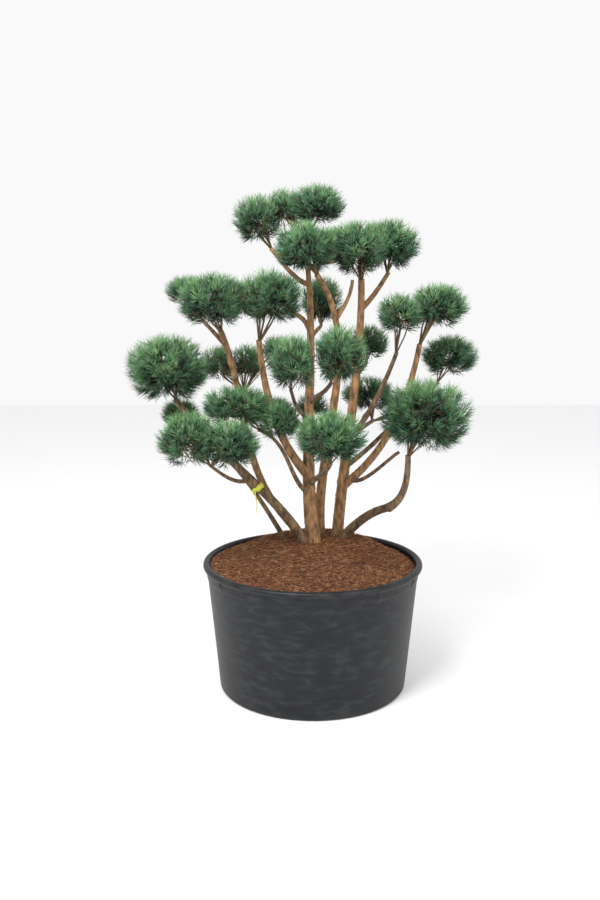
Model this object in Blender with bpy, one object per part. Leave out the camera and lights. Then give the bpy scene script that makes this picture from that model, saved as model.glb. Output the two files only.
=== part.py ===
"""A cloud-pruned Watereri Scots pine in a round nursery pot.

Three stems and three low limbs rise from a mound of coir mulch. Boughs leave them and end under
the clipped foliage masses. Each mass is one solid: a stem that forks into twigs, a dense core
that the twigs run into, and sprays of needles that stand out of the core all round.

Metres, +Z up. The origin is the centre of the pot's flat underside, and -Y is the front.
"""

import math
from typing import NamedTuple

import bmesh
import bpy
import numpy as np

# Pot
POT_HEIGHT = 0.503
RIM_RADIUS = 0.425
RIM_ROLL = 0.013
WALL_TOP_RADIUS = 0.410
BASE_RADIUS = 0.364
WALL = 0.008
FLOOR = 0.010
BAND_HEIGHT = 0.030
BAND_STEP = 0.0025
BASE_ROUND = 0.014
POT_SIDES = 36
RIM_STEPS = 6
RIB_COUNT = 12
RIB_TURN = math.radians(-86.0)
RIB_WIDTH = 0.005
RIB_REACH = 0.010

# Mulch
MULCH_TOP = 0.540
MULCH_EDGE = 0.486
MULCH_EDGE_DIP = 0.008
MULCH_LIP = 0.0275
MULCH_SHOULDER = 0.465
MOUND_CENTRE = (0.020, 0.130)
MOUND_FLAT = 0.170
MOUND_RINGS = 4

# Clearances, and the rules that every limb follows
GAP = 0.0003
CUT_CLEARANCE = 0.0004
RING_STEP = 0.082
STEM_SIDES = 8
BOUGH_SIDES = 6
STEM_BURIED = 0.03
COLLAR_SWELL = 0.30
COLLAR_LENGTH = 0.045

# Shape of a lobe: a full dome over a tapering underside, widest below its middle
WIDEST_SHARE = 0.42
DOME_FULLNESS = 2.4
UNDER_FULLNESS = 1.5
UNDER_TAPER = 0.72

# Rules of the foliage masses
SEED = 1957
CORE_SHARE = 0.85
CORE_SIDES = 8
CORE_RINGS = (-60.0, -26.0, 4.0, 34.0, 62.0)
TOOTH_LIFT = 7.0
TOOTH_SWING = 0.35
FORK_RISE = 0.014
STEM_SHARE = 0.62
TWIG_RADIUS = 0.0042
TWIG_TIP_RADIUS = 0.0026
TWIG_SPREAD = 0.46
SIDE_TWIG_TURN = math.radians(38.0)
SPRAYS_PER_M2 = 28.0
SPRAY_ROOT_SHARE = 0.60
SPRAY_NECK_SHARE = 0.45
SPRAY_NECK_RADIUS = 0.0060
SPRAY_NEEDLE_RISE = 0.80
SPRAY_NEEDLE_REACH = 0.38
LOWEST_SPRAY = -0.45
SPACE_MARGIN = 0.035
LIMB_MARGIN = 0.006
PASSING_REACH = 0.06
LIMB_CUT = 0.002

# Tie
TIE_SHARE = 0.425
TIE_WIDTH = 0.022
TIE_THICKNESS = 0.002
TIE_KNOT_RADIUS = 0.008
TIE_TAIL_LENGTH = 0.090
TIE_SIDES = 10

# Colours, linear, from the photo
BLACK_PLASTIC = (0.012, 0.013, 0.015)
COIR_BROWN = (0.205, 0.082, 0.036)
BARK_ORANGE = (0.330, 0.175, 0.070)
BARK_GREY = (0.190, 0.125, 0.060)
NEEDLE_GREEN = (0.045, 0.130, 0.055)
TIE_YELLOW = (0.780, 0.800, 0.080)


class Stem(NamedTuple):
    """A limb with its own foot in the mulch: the foot, two places that it passes, and its tip."""

    foot: tuple
    low: tuple
    high: tuple
    tip: tuple
    foot_radius: float
    tip_radius: float


class Bough(NamedTuple):
    """A limb that leaves its parent at a height, passes two places and ends at its tip."""

    parent: str
    leaves_at: float
    low: tuple
    high: tuple
    tip: tuple
    root_radius: float
    tip_radius: float


class Mass(NamedTuple):
    """A clipped foliage mass: its bough, and the centre and full size of each of its lobes."""

    bough: str
    lobes: tuple


STEMS = {
    "stem_front": Stem((0.010, 0.105), (-0.015, 0.097, 0.93), (-0.008, 0.112, 1.38),
                       (-0.030, 0.150, 1.720), 0.029, 0.0075),
    "stem_back": Stem((0.042, 0.188), (0.062, 0.160, 0.93), (0.092, 0.085, 1.40),
                      (0.012, -0.028, 1.590), 0.021, 0.010),
    "stem_right": Stem((0.107, 0.205), (0.135, 0.165, 0.87), (0.176, 0.140, 1.25),
                       (0.184, 0.085, 1.575), 0.024, 0.012),
    "stem_left": Stem((-0.037, 0.100), (-0.200, 0.018, 0.775), (-0.385, 0.008, 0.963),
                      (-0.522, 0.008, 1.130), 0.021, 0.010),
    "stem_left_thin": Stem((-0.106, 0.122), (-0.235, 0.122, 0.751), (-0.395, 0.140, 0.925),
                           (-0.500, 0.160, 0.990), 0.0105, 0.006),
    "stem_right_low": Stem((0.124, 0.162), (0.168, 0.105, 0.607), (0.220, 0.050, 0.664),
                           (0.290, -0.025, 0.712), 0.020, 0.0155),
}

CROWDING = {"stem_left": "stem_front", "stem_right_low": "stem_right"}

BOUGHS = {
    "bough_right_rise": Bough("stem_right_low", 0.712, (0.334, -0.060, 0.768), (0.351, -0.088, 0.850),
                              (0.352, -0.100, 0.930), 0.0148, 0.010),
    "bough_center_low": Bough("stem_front", 0.775, (0.020, 0.020, 0.823), (0.045, -0.080, 0.866),
                              (0.060, -0.180, 0.912), 0.010, 0.008),
    "bough_left_back": Bough("stem_left", 0.630, (-0.225, 0.065, 0.867), (-0.293, 0.040, 1.189),
                             (-0.345, -0.015, 1.385), 0.015, 0.011),
    "bough_left_front": Bough("stem_front", 0.815, (-0.100, 0.058, 0.940), (-0.180, 0.030, 1.180),
                              (-0.203, -0.010, 1.350), 0.018, 0.010),
    "bough_mid_left": Bough("stem_front", 0.745, (-0.063, 0.030, 0.813), (-0.121, -0.030, 0.945),
                            (-0.205, -0.080, 1.022), 0.009, 0.006),
    "bough_lower_left": Bough("stem_left", 0.818, (-0.290, -0.055, 0.824), (-0.345, -0.125, 0.868),
                              (-0.378, -0.172, 0.905), 0.008, 0.0055),
    "bough_right_main": Bough("stem_right", 0.755, (0.256, 0.140, 0.900), (0.375, 0.110, 1.160),
                              (0.410, 0.080, 1.330), 0.016, 0.010),
    "bough_right_small": Bough("stem_right", 0.835, (0.242, 0.182, 0.923), (0.400, 0.215, 1.075),
                               (0.510, 0.220, 1.170), 0.010, 0.006),
    "bough_right_inner": Bough("stem_right", 0.950, (0.222, 0.112, 1.065), (0.285, 0.085, 1.200),
                               (0.318, 0.045, 1.300), 0.011, 0.008),
    "bough_right_under": Bough("bough_right_main", 0.785, (0.200, 0.090, 0.802), (0.255, 0.040, 0.852),
                               (0.322, -0.045, 0.930), 0.008, 0.006),
    "bough_upper_right": Bough("stem_right", 1.465, (0.226, 0.150, 1.502), (0.265, 0.185, 1.552),
                               (0.300, 0.220, 1.602), 0.010, 0.008),
    "bough_upper_twin": Bough("stem_back", 1.425, (0.115, 0.072, 1.468), (0.137, 0.062, 1.515),
                              (0.148, 0.050, 1.572), 0.008, 0.006),
    "bough_top_left": Bough("stem_front", 1.555, (-0.085, 0.105, 1.602), (-0.130, 0.112, 1.655),
                            (-0.160, 0.125, 1.690), 0.009, 0.007),
    "bough_center_right": Bough("stem_front", 1.105, (0.016, 0.030, 1.135), (0.040, -0.070, 1.165),
                                (0.062, -0.165, 1.205), 0.010, 0.007),
    "bough_center_left": Bough("stem_front", 1.035, (-0.055, 0.035, 1.085), (-0.074, -0.050, 1.135),
                               (-0.084, -0.135, 1.178), 0.008, 0.006),
    "bough_back_top": Bough("stem_front", 1.345, (0.008, 0.185, 1.368), (0.025, 0.240, 1.382),
                            (0.038, 0.295, 1.395), 0.009, 0.007),
    "bough_rear_left": Bough("stem_front", 1.375, (-0.048, 0.160, 1.432), (-0.120, 0.240, 1.450),
                             (-0.220, 0.350, 1.440), 0.009, 0.007),
    "bough_rear_high": Bough("stem_front", 1.610, (0.020, 0.210, 1.635), (0.065, 0.290, 1.645),
                             (0.098, 0.355, 1.650), 0.008, 0.0065),
    "bough_back_left": Bough("stem_front", 0.980, (-0.090, 0.190, 1.035), (-0.190, 0.260, 1.082),
                             (-0.285, 0.295, 1.130), 0.010, 0.0075),
    "bough_back_right": Bough("stem_right", 1.200, (0.190, 0.195, 1.218), (0.208, 0.245, 1.230),
                              (0.224, 0.295, 1.245), 0.009, 0.007),
    "bough_back_right_low": Bough("stem_right", 0.900, (0.160, 0.230, 0.940), (0.205, 0.290, 0.972),
                                  (0.260, 0.340, 1.000), 0.010, 0.008),
    "bough_back_low": Bough("stem_back", 0.830, (0.048, 0.225, 0.885), (0.012, 0.290, 0.935),
                            (-0.035, 0.350, 0.975), 0.009, 0.007),
    "bough_upper_left_back": Bough("bough_left_back", 1.330, (-0.375, 0.060, 1.375),
                                   (-0.420, 0.140, 1.412), (-0.465, 0.215, 1.450), 0.008, 0.006),
}

MASSES = {
    "mass_top_left": Mass("bough_top_left", (((-0.208, 0.150, 1.805), (0.220, 0.240, 0.200)),)),
    "mass_top": Mass("stem_front", (((0.016, 0.155, 1.860), (0.240, 0.255, 0.172)),
                                    ((-0.108, 0.205, 1.845), (0.185, 0.210, 0.180)))),
    "mass_upper_front": Mass("stem_back", (((-0.027, -0.030, 1.694), (0.262, 0.240, 0.210)),)),
    "mass_upper_front_right": Mass("stem_right", (((0.162, 0.040, 1.690), (0.240, 0.240, 0.222)),)),
    "mass_upper_right": Mass("bough_upper_right", (((0.305, 0.250, 1.715), (0.270, 0.250, 0.220)),)),
    "mass_left_upper_outer": Mass("bough_left_back", (((-0.366, -0.050, 1.503), (0.292, 0.290, 0.212)),)),
    "mass_left_upper_inner": Mass("bough_left_front", (((-0.155, -0.050, 1.517), (0.268, 0.270, 0.220)),)),
    "mass_left_upper_back": Mass("bough_upper_left_back", (((-0.495, 0.260, 1.538), (0.200, 0.220, 0.136)),)),
    "mass_far_left": Mass("stem_left", (((-0.549, 0.000, 1.250), (0.338, 0.320, 0.263)),)),
    "mass_back_left": Mass("bough_back_left", (((-0.380, 0.300, 1.240), (0.170, 0.200, 0.172)),
                                               ((-0.262, 0.320, 1.245), (0.160, 0.200, 0.165)),
                                               ((-0.140, 0.360, 1.295), (0.170, 0.190, 0.135)))),
    "mass_center_left": Mass("bough_center_left", (((-0.072, -0.250, 1.290), (0.220, 0.240, 0.212)),)),
    "mass_center_right": Mass("bough_center_right", (((0.082, -0.250, 1.317), (0.235, 0.250, 0.222)),)),
    "mass_mid_left": Mass("bough_mid_left", (((-0.280, -0.090, 1.118), (0.290, 0.250, 0.168)),
                                             ((-0.125, -0.110, 1.065), (0.190, 0.210, 0.170)))),
    "mass_lower_left": Mass("bough_lower_left", (((-0.452, -0.215, 1.015), (0.245, 0.255, 0.218)),
                                                 ((-0.302, -0.215, 1.000), (0.240, 0.245, 0.205)))),
    "mass_lower_left_back": Mass("stem_left_thin", (((-0.525, 0.190, 1.055), (0.180, 0.190, 0.128)),)),
    "mass_center_low": Mass("bough_center_low", (((0.057, -0.300, 1.034), (0.270, 0.270, 0.205)),)),
    "mass_right_upper_inner": Mass("bough_right_inner", (((0.330, 0.010, 1.450), (0.205, 0.220, 0.172)),)),
    "mass_right_upper_outer": Mass("bough_right_main", (((0.481, 0.090, 1.479), (0.252, 0.260, 0.189)),)),
    "mass_right_small": Mass("bough_right_small", (((0.549, 0.225, 1.279), (0.252, 0.240, 0.184)),)),
    "mass_right_low": Mass("bough_right_rise", (((0.413, -0.110, 1.086), (0.372, 0.330, 0.282)),)),
    "mass_back_top": Mass("bough_back_top", (((0.042, 0.360, 1.497), (0.195, 0.220, 0.212)),)),
    "mass_back_right": Mass("bough_back_right", (((0.234, 0.345, 1.325), (0.195, 0.220, 0.163)),)),
    "mass_back_right_low": Mass("bough_back_right_low", (((0.238, 0.380, 1.110), (0.245, 0.240, 0.163)),
                                                         ((0.400, 0.350, 1.045), (0.210, 0.220, 0.150)))),
    "mass_back_low": Mass("bough_back_low", (((0.004, 0.370, 1.062), (0.165, 0.200, 0.118)),
                                             ((-0.165, 0.425, 1.035), (0.210, 0.210, 0.130)))),
    "mass_rear_high": Mass("bough_rear_high", (((0.115, 0.445, 1.722), (0.255, 0.250, 0.165)),)),
    "mass_rear_left": Mass("bough_rear_left", (((-0.300, 0.430, 1.500), (0.270, 0.250, 0.178)),)),
}


# Helpers


def principled(name, colour, roughness):
    material = bpy.data.materials.new(name)
    material.use_nodes = True
    shader = material.node_tree.nodes["Principled BSDF"]
    shader.inputs["Base Color"].default_value = (*colour, 1.0)
    shader.inputs["Roughness"].default_value = roughness
    return material


def add_object(name, points, faces, collection=None):
    mesh = bpy.data.meshes.new(name)
    mesh.from_pydata(np.asarray(points).tolist(), [], faces)
    mesh.validate()
    obj = bpy.data.objects.new(name, mesh)
    (collection or bpy.context.scene.collection).objects.link(obj)
    face_outwards(obj)
    return obj


def face_outwards(obj):
    shape = bmesh.new()
    shape.from_mesh(obj.data)
    bmesh.ops.recalc_face_normals(shape, faces=shape.faces)
    if shape.calc_volume(signed=True) < 0:
        bmesh.ops.reverse_faces(shape, faces=shape.faces)
    shape.to_mesh(obj.data)
    shape.free()


def finish(obj, material):
    obj.data.materials.clear()
    obj.data.materials.append(material)
    obj.data.shade_smooth()
    obj.data.set_sharp_from_angle(angle=math.radians(40.0))


def apply_modifiers(obj):
    graph = bpy.context.evaluated_depsgraph_get()
    made = bpy.data.meshes.new_from_object(obj.evaluated_get(graph))
    obj.modifiers.clear()
    obj.data = made


def boolean(obj, operation, others, solver="EXACT"):
    """Joins or cuts obj by every object of others at once, applies it, and removes the others."""
    helpers = bpy.data.collections.new("helpers")
    bpy.context.scene.collection.children.link(helpers)
    for other in others:
        for owner in list(other.users_collection):
            owner.objects.unlink(other)
        helpers.objects.link(other)
    modifier = obj.modifiers.new(operation.lower(), "BOOLEAN")
    modifier.operation = operation
    modifier.operand_type = "COLLECTION"
    modifier.collection = helpers
    modifier.solver = solver
    bpy.context.view_layer.update()
    apply_modifiers(obj)
    for other in others:
        bpy.data.objects.remove(other)
    bpy.data.collections.remove(helpers)


def keep_main_body(obj):
    """Drops loose scraps and fills sealed hollows: only the widest connected surface stays."""
    shape = bmesh.new()
    shape.from_mesh(obj.data)
    left = set(shape.verts)
    bodies = []
    while left:
        front = [left.pop()]
        body = set(front)
        while front:
            for edge in front.pop().link_edges:
                for end in edge.verts:
                    if end in left:
                        left.discard(end)
                        body.add(end)
                        front.append(end)
        bodies.append(body)
    bodies.sort(key=len)
    scraps = [v for body in bodies[:-1] for v in body]
    bmesh.ops.delete(shape, geom=scraps, context="VERTS")
    bmesh.ops.triangulate(shape, faces=shape.faces)
    shape.to_mesh(obj.data)
    shape.free()


def unit(vector):
    return vector / np.linalg.norm(vector)


def turned(profile, sides):
    """Points and faces of a profile of (radius, height) turned about Z, closed at both ends."""
    angles = np.arange(sides) * 2.0 * math.pi / sides
    rings = [
        np.stack([r * np.cos(angles), r * np.sin(angles), np.full(sides, z)], axis=1)
        for r, z in profile
    ]
    return np.concatenate(rings), ring_faces(len(rings), sides)


def ring_faces(count, sides):
    """Quads between rings of points, with a flat face over the first and the last."""
    faces = [list(range(sides)), list(range((count - 1) * sides, count * sides))]
    for ring in range(count - 1):
        for side in range(sides):
            after = (side + 1) % sides
            low, high = ring * sides, (ring + 1) * sides
            faces.append([low + side, low + after, high + after, high + side])
    return faces


# Limbs


def smooth_route(places, count):
    """The cubic through four places, its parameter shared out by the distances between them."""
    places = np.array(places, dtype=float)
    steps = np.linalg.norm(np.diff(places, axis=0), axis=1)
    knots = np.concatenate([[0.0], np.cumsum(steps)]) / steps.sum()
    t = np.linspace(0.0, 1.0, count)[:, None]
    route = np.zeros((count, 3))
    for i, place in enumerate(places):
        others = np.delete(knots, i)
        weight = np.prod((t - others) / (knots[i] - others), axis=1)
        route += weight[:, None] * place
    return route


class Limb:
    """A limb's centre line with its radius at each point, and the tube made round it."""

    def __init__(self, places, radii, sides):
        fine = smooth_route(places, 60)
        lengths = np.concatenate([[0.0], np.cumsum(np.linalg.norm(np.diff(fine, axis=0), axis=1))])
        self.length = lengths[-1]
        count = max(4, 1 + round(self.length / RING_STEP))
        along = np.linspace(0.0, self.length, count)
        self.points = np.stack([np.interp(along, lengths, fine[:, k]) for k in range(3)], axis=1)
        taper = radii[0] + (radii[1] - radii[0]) * along / self.length
        collar = 1.0 + COLLAR_SWELL * np.exp(-along / COLLAR_LENGTH)
        self.radii = taper * (collar if sides == BOUGH_SIDES else 1.0 + 0.4 * (collar - 1.0))
        self.sides = sides
        self.heading = unit(self.points[-1] - self.points[-2])

    def point_at_height(self, height):
        """The point and radius where the centre line passes a height."""
        order = np.argsort(self.points[:, 2])
        heights = self.points[order, 2]
        place = [np.interp(height, heights, self.points[order, k]) for k in range(3)]
        return np.array(place), float(np.interp(height, heights, self.radii[order]))

    def tube(self, swell=0.0):
        """Rings square to the centre line, carried along it without twist."""
        points = self.points.copy()
        points[0] -= swell * unit(self.points[1] - self.points[0])
        points[-1] += swell * self.heading
        angles = np.arange(self.sides) * 2.0 * math.pi / self.sides
        side = unit(np.cross(unit(points[1] - points[0]), (0.0, 1.0, 0.0)))
        rings = []
        for i, point in enumerate(points):
            ahead = points[min(i + 1, len(points) - 1)]
            behind = points[max(i - 1, 0)]
            tangent = unit(ahead - behind)
            side = unit(side - tangent * np.dot(side, tangent))
            other = np.cross(tangent, side)
            radius = self.radii[i] + swell
            rings.append(
                point + radius * (np.outer(np.cos(angles), side) + np.outer(np.sin(angles), other))
            )
        return np.concatenate(rings), ring_faces(len(rings), self.sides)

    def distance(self, places):
        """How far each place is from the limb's surface, along straight runs between its points."""
        starts, ends = self.points[:-1], self.points[1:]
        runs = ends - starts
        share = np.einsum("psk,sk->ps", places[:, None] - starts, runs) / np.sum(runs**2, axis=1)
        share = np.clip(share, 0.0, 1.0)
        nearest = starts + share[..., None] * runs
        radius = self.radii[:-1] + share * np.diff(self.radii)
        return np.min(np.linalg.norm(places[:, None] - nearest, axis=2) - radius, axis=1)


def make_limbs():
    """Every limb's centre line, the stems first."""
    limbs = {}
    for name, stem in STEMS.items():
        foot = np.array([*stem.foot, MULCH_TOP])
        start = foot - STEM_BURIED * unit(np.array(stem.low) - foot)
        places = [start, stem.low, stem.high, stem.tip]
        limbs[name] = Limb(places, (stem.foot_radius, stem.tip_radius), STEM_SIDES)
    for name, bough in BOUGHS.items():
        start, _ = limbs[bough.parent].point_at_height(bough.leaves_at)
        places = [start, bough.low, bough.high, bough.tip]
        limbs[name] = Limb(places, (bough.root_radius, bough.tip_radius), BOUGH_SIDES)
    return limbs


def ground_block():
    """A block up to the mulch's flat top, which cuts the stems' feet flat and clear of it."""
    size = 2.0 * RIM_RADIUS
    top = MULCH_TOP + GAP
    corners = [(x, y, z) for z in (top - size, top) for x, y in
               ((-size, -size), (size, -size), (size, size), (-size, size))]
    return add_object("ground", corners, ring_faces(2, 4))


def build_limb(name, limbs):
    """The tube, with its foot cut flat or its root cut to its parent's side."""
    obj = add_object(name, *limbs[name].tube())
    if name in STEMS:
        cutter = ground_block()
    else:
        cutter = add_object("parent", *limbs[BOUGHS[name].parent].tube(swell=CUT_CLEARANCE))
    cutters = [cutter]
    if name in CROWDING:
        cutters.append(add_object("neighbour", *limbs[CROWDING[name]].tube(swell=CUT_CLEARANCE)))
    boolean(obj, "DIFFERENCE", cutters)
    keep_main_body(obj)
    colour = BARK_ORANGE if limbs[name].points[-1, 2] > 1.3 else BARK_GREY
    finish(obj, principled(name + "_bark", colour, 0.85))


# Foliage


def local_place(lobe, places):
    """Places about the lobe's widest level, as shares of its half size each way."""
    centre, size = (np.array(part) for part in lobe)
    local = (places - centre + (0.0, 0.0, (0.5 - WIDEST_SHARE) * size[2])) / (size / 2.0)
    height = np.where(local[:, 2] > 0.0, 2.0 * (1.0 - WIDEST_SHARE), 2.0 * WIDEST_SHARE)
    return np.column_stack([local[:, :2], local[:, 2] / height])


def local_reach(local):
    """How far local places are out, 1 on the clipped surface: a dome above, a tapering bowl below."""
    flat = np.hypot(local[:, 0], local[:, 1])
    height = np.abs(local[:, 2])
    dome = (flat**DOME_FULLNESS + height**DOME_FULLNESS) ** (1.0 / DOME_FULLNESS)
    bowl = (flat**UNDER_FULLNESS + (UNDER_TAPER * height) ** UNDER_FULLNESS) ** (1.0 / UNDER_FULLNESS)
    return np.where(local[:, 2] > 0.0, dome, np.maximum(bowl, height))


def lobe_reach(lobe, places):
    return local_reach(local_place(lobe, places))


def on_lobe(lobe, directions, share):
    """The places at a share of the way from the lobe's heart to its surface, in local directions."""
    centre, size = (np.array(part) for part in lobe)
    local = directions * (share / local_reach(directions))[:, None]
    height = np.where(local[:, 2] > 0.0, 2.0 * (1.0 - WIDEST_SHARE), 2.0 * WIDEST_SHARE)
    local = np.column_stack([local[:, :2], local[:, 2] * height])
    return centre - (0.0, 0.0, (0.5 - WIDEST_SHARE) * size[2]) + local * size / 2.0


def direction(turn, rise):
    """Unit directions from a turn about Z and a rise above level, both in radians."""
    turn, rise = np.broadcast_arrays(turn, rise)
    return np.stack([np.cos(turn) * np.cos(rise), np.sin(turn) * np.cos(rise), np.sin(rise)], axis=-1)


def keep_to_space(name, lobe, places, limbs):
    """Draws each place in towards the lobe's heart until no other mass has more of a claim to it."""
    heart = on_lobe(lobe, np.array([[0.0, 0.0, 1.0]]), np.array([0.0]))
    foreign = [other for mass, m in MASSES.items() if mass != name for other in m.lobes]
    share = np.ones(len(places))
    for _ in range(14):
        here = heart + share[:, None] * (places - heart)
        own = lobe_reach(lobe, here)
        claims = np.min([lobe_reach(other, here) for other in foreign], axis=0)
        near = np.min([limb.distance(here) for limb in limbs.values()], axis=0)
        crowded = (claims < own + SPACE_MARGIN) | (near < LIMB_MARGIN)
        share = np.where(crowded, share - 0.04, share)
    return heart + share[:, None] * (places - heart)


def toothed_core(name, lobe, limbs, rng):
    """Rings of quads on the lobe's inner shape, each quad raised to a tooth on its clipped surface."""
    turns = (np.arange(CORE_SIDES) + rng.uniform(0.0, 1.0)) * 2.0 * math.pi / CORE_SIDES
    step = 2.0 * math.pi / CORE_SIDES
    rings = []
    for index, rise in enumerate(CORE_RINGS):
        shares = CORE_SHARE * (1.0 + rng.uniform(-0.05, 0.05, CORE_SIDES))
        rings.append(on_lobe(lobe, direction(turns + 0.5 * step * index, math.radians(rise)), shares))
    points = [ring for ring in rings]
    faces = []
    next_point = CORE_SIDES * len(CORE_RINGS)
    for ring in range(len(CORE_RINGS) - 1):
        rise = math.radians(0.5 * (CORE_RINGS[ring] + CORE_RINGS[ring + 1]) + TOOTH_LIFT)
        swing = rng.uniform(-TOOTH_SWING, TOOTH_SWING, CORE_SIDES)
        middles = turns + step * (0.5 * ring + 0.75 + swing * 0.5)
        share = rng.uniform(0.93, 1.0, CORE_SIDES) * (0.90 if ring == 0 else 1.0)
        points.append(on_lobe(lobe, direction(middles, rise), share))
        for side in range(CORE_SIDES):
            after = (side + 1) % CORE_SIDES
            low, high = ring * CORE_SIDES, (ring + 1) * CORE_SIDES
            loop = [low + side, low + after, high + after, high + side]
            faces += [[loop[i], loop[(i + 1) % 4], next_point + side] for i in range(4)]
        next_point += CORE_SIDES
    poles = direction(np.zeros(2), np.array([-math.pi / 2.0, math.pi / 2.0]))
    points.append(on_lobe(lobe, poles, np.array([0.70, 1.0])))
    last = CORE_SIDES * (len(CORE_RINGS) - 1)
    for side in range(CORE_SIDES):
        after = (side + 1) % CORE_SIDES
        faces.append([after, side, next_point])
        faces.append([last + side, last + after, next_point + 1])
    return add_object("core", keep_to_space(name, lobe, np.concatenate(points), limbs), faces)


def twig(start, end, start_radius, end_radius):
    """A three-sided tapering twig."""
    along = unit(end - start)
    side = unit(np.cross(along, (0.3, 1.0, 0.2)))
    other = np.cross(along, side)
    angles = np.arange(3) * 2.0 * math.pi / 3.0
    ring = np.outer(np.cos(angles), side) + np.outer(np.sin(angles), other)
    points = np.concatenate([start + start_radius * ring, end + end_radius * ring])
    return add_object("twig", points, ring_faces(2, 3))


def spray_points(root, tip, roll):
    """A spray: a slim three-sided core from root to tip, and one needle standing out of each side."""
    along = tip - root
    length = np.linalg.norm(along)
    along = along / length
    side = unit(np.cross(along, (0.2, 0.9, 0.4)))
    other = np.cross(along, side)
    corner = roll + np.arange(3) * 2.0 * math.pi / 3.0
    middle = corner + math.pi / 3.0
    ring = SPRAY_NECK_RADIUS * (np.outer(np.cos(corner), side) + np.outer(np.sin(corner), other))
    outward = np.outer(np.cos(middle), side) + np.outer(np.sin(middle), other)
    neck = root + SPRAY_NECK_SHARE * (tip - root) + ring
    needles = root + length * (SPRAY_NEEDLE_RISE * along + SPRAY_NEEDLE_REACH * outward)
    return np.concatenate([root + ring, neck, needles, [tip]])


def spray_faces():
    faces = [[2, 1, 0]]
    for side in range(3):
        after = (side + 1) % 3
        neck, next_neck, needle, apex = 3 + side, 3 + after, 6 + side, 9
        faces.append([side, after, next_neck, neck])
        faces += [[neck, next_neck, needle], [next_neck, apex, needle], [apex, neck, needle]]
    return faces


def sprays_of(name, lobe, limbs, rng):
    """Sprays spread evenly over a lobe; one that leaves the mass's space or nears a limb is skipped."""
    w, d, h = lobe[1]
    count = round(SPRAYS_PER_M2 * (w * d + w * h + d * h))
    own = [other for other in MASSES[name].lobes if other != lobe]
    foreign = [other for mass, m in MASSES.items() if mass != name for other in m.lobes]
    start = rng.uniform(0.0, 2.0 * math.pi)
    golden = math.pi * (3.0 - math.sqrt(5.0))
    made = []
    for i in range(count):
        rise = math.asin(1.0 + (LOWEST_SPRAY - 1.0) * (i + 0.5) / count)
        turn = start + golden * i + rng.uniform(-0.2, 0.2)
        outward = direction(np.array([turn]), np.array([rise]))
        root = on_lobe(lobe, outward, np.array([SPRAY_ROOT_SHARE]))[0]
        tip = on_lobe(lobe, outward, rng.uniform(0.98, 1.03, 1))[0]
        points = spray_points(root, tip, rng.uniform(0.0, 2.0 * math.pi))
        if any(lobe_reach(other, tip[None])[0] < 0.9 for other in own):
            continue
        if any((lobe_reach(other, points) < lobe_reach(lobe, points) + SPACE_MARGIN).any()
               for other in foreign):
            continue
        if min(limb.distance(points).min() for limb in limbs.values()) < LIMB_MARGIN:
            continue
        made.append(add_object("spray", points, spray_faces()))
    return made


def build_mass(name, limbs, seed):
    """One union of the mass's stem, twigs, cores and sprays."""
    rng = np.random.default_rng(seed)
    mass = MASSES[name]
    limb = limbs[mass.bough]
    radius = STEM_SHARE * limb.radii[-1]
    foot = limb.points[-1] + GAP * limb.heading
    fork = foot + FORK_RISE * limb.heading
    twigs_per_lobe = 3 if len(mass.lobes) == 1 else 2
    parts = []
    for lobe in mass.lobes:
        centre, size = (np.array(part) for part in lobe)
        first = rng.uniform(0.0, 2.0 * math.pi)
        for i in range(twigs_per_lobe):
            turn = first + i * 2.0 * math.pi / twigs_per_lobe
            for angle, start_share in ((turn, 0.0), (turn + SIDE_TWIG_TURN, 0.45)):
                spread = TWIG_SPREAD * size / 2.0
                main = centre + spread * (math.cos(turn), math.sin(turn), 0.0)
                end = centre + spread * (math.cos(angle), math.sin(angle), 0.0)
                start = fork + start_share * (main - fork) - 0.004 * limb.heading
                thick = min(TWIG_RADIUS, radius) * (1.0 - 0.4 * start_share)
                parts.append(twig(start, end, thick, TWIG_TIP_RADIUS))
        parts.append(toothed_core(name, lobe, limbs, rng))
        parts += sprays_of(name, lobe, limbs, rng)
    obj = twig(foot, fork, radius, 0.9 * radius)
    obj.name = name
    boolean(obj, "UNION", parts)
    keep_main_body(obj)
    corners = np.array([v.co[:] for v in obj.data.vertices])
    passing = [limb for limb in limbs.values() if limb.distance(corners).min() < PASSING_REACH]
    passing = [limb for limb in passing if limb is not limbs[mass.bough]]
    if passing:
        boolean(obj, "DIFFERENCE", [add_object("limb", *limb.tube(LIMB_CUT)) for limb in passing])
        keep_main_body(obj)
    finish(obj, principled(name + "_needles", NEEDLE_GREEN, 0.6))


# Pot, mulch and tie


def wall_radius(height):
    """The pot's outer wall: a straight taper from the base up to the rim."""
    return BASE_RADIUS + (WALL_TOP_RADIUS - BASE_RADIUS) * height / (POT_HEIGHT - 2.0 * RIM_ROLL)


def inner_radius(height):
    return wall_radius(height) - WALL


def pot_profile():
    """From the middle of the inner floor up the inside, over the rolled rim and down the outside."""
    under_rim = POT_HEIGHT - 2.0 * RIM_ROLL
    roll_centre = RIM_RADIUS - RIM_ROLL
    band = under_rim - BAND_HEIGHT
    profile = [(inner_radius(FLOOR), FLOOR), (inner_radius(under_rim), under_rim)]
    for step in range(RIM_STEPS + 1):
        angle = math.radians(190.0 - 250.0 * step / RIM_STEPS)
        profile.append((roll_centre + RIM_ROLL * math.cos(angle),
                        POT_HEIGHT - RIM_ROLL + RIM_ROLL * math.sin(angle)))
    profile += [(wall_radius(under_rim) + BAND_STEP, under_rim - 0.001)]
    profile += [(wall_radius(band) + BAND_STEP, band), (wall_radius(band), band - BAND_STEP)]
    for step in range(3):
        angle = math.radians(-45.0 * step)
        profile.append((wall_radius(BASE_ROUND) - BASE_ROUND * (1.0 - math.cos(angle)),
                        BASE_ROUND + BASE_ROUND * math.sin(angle)))
    return profile


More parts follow.
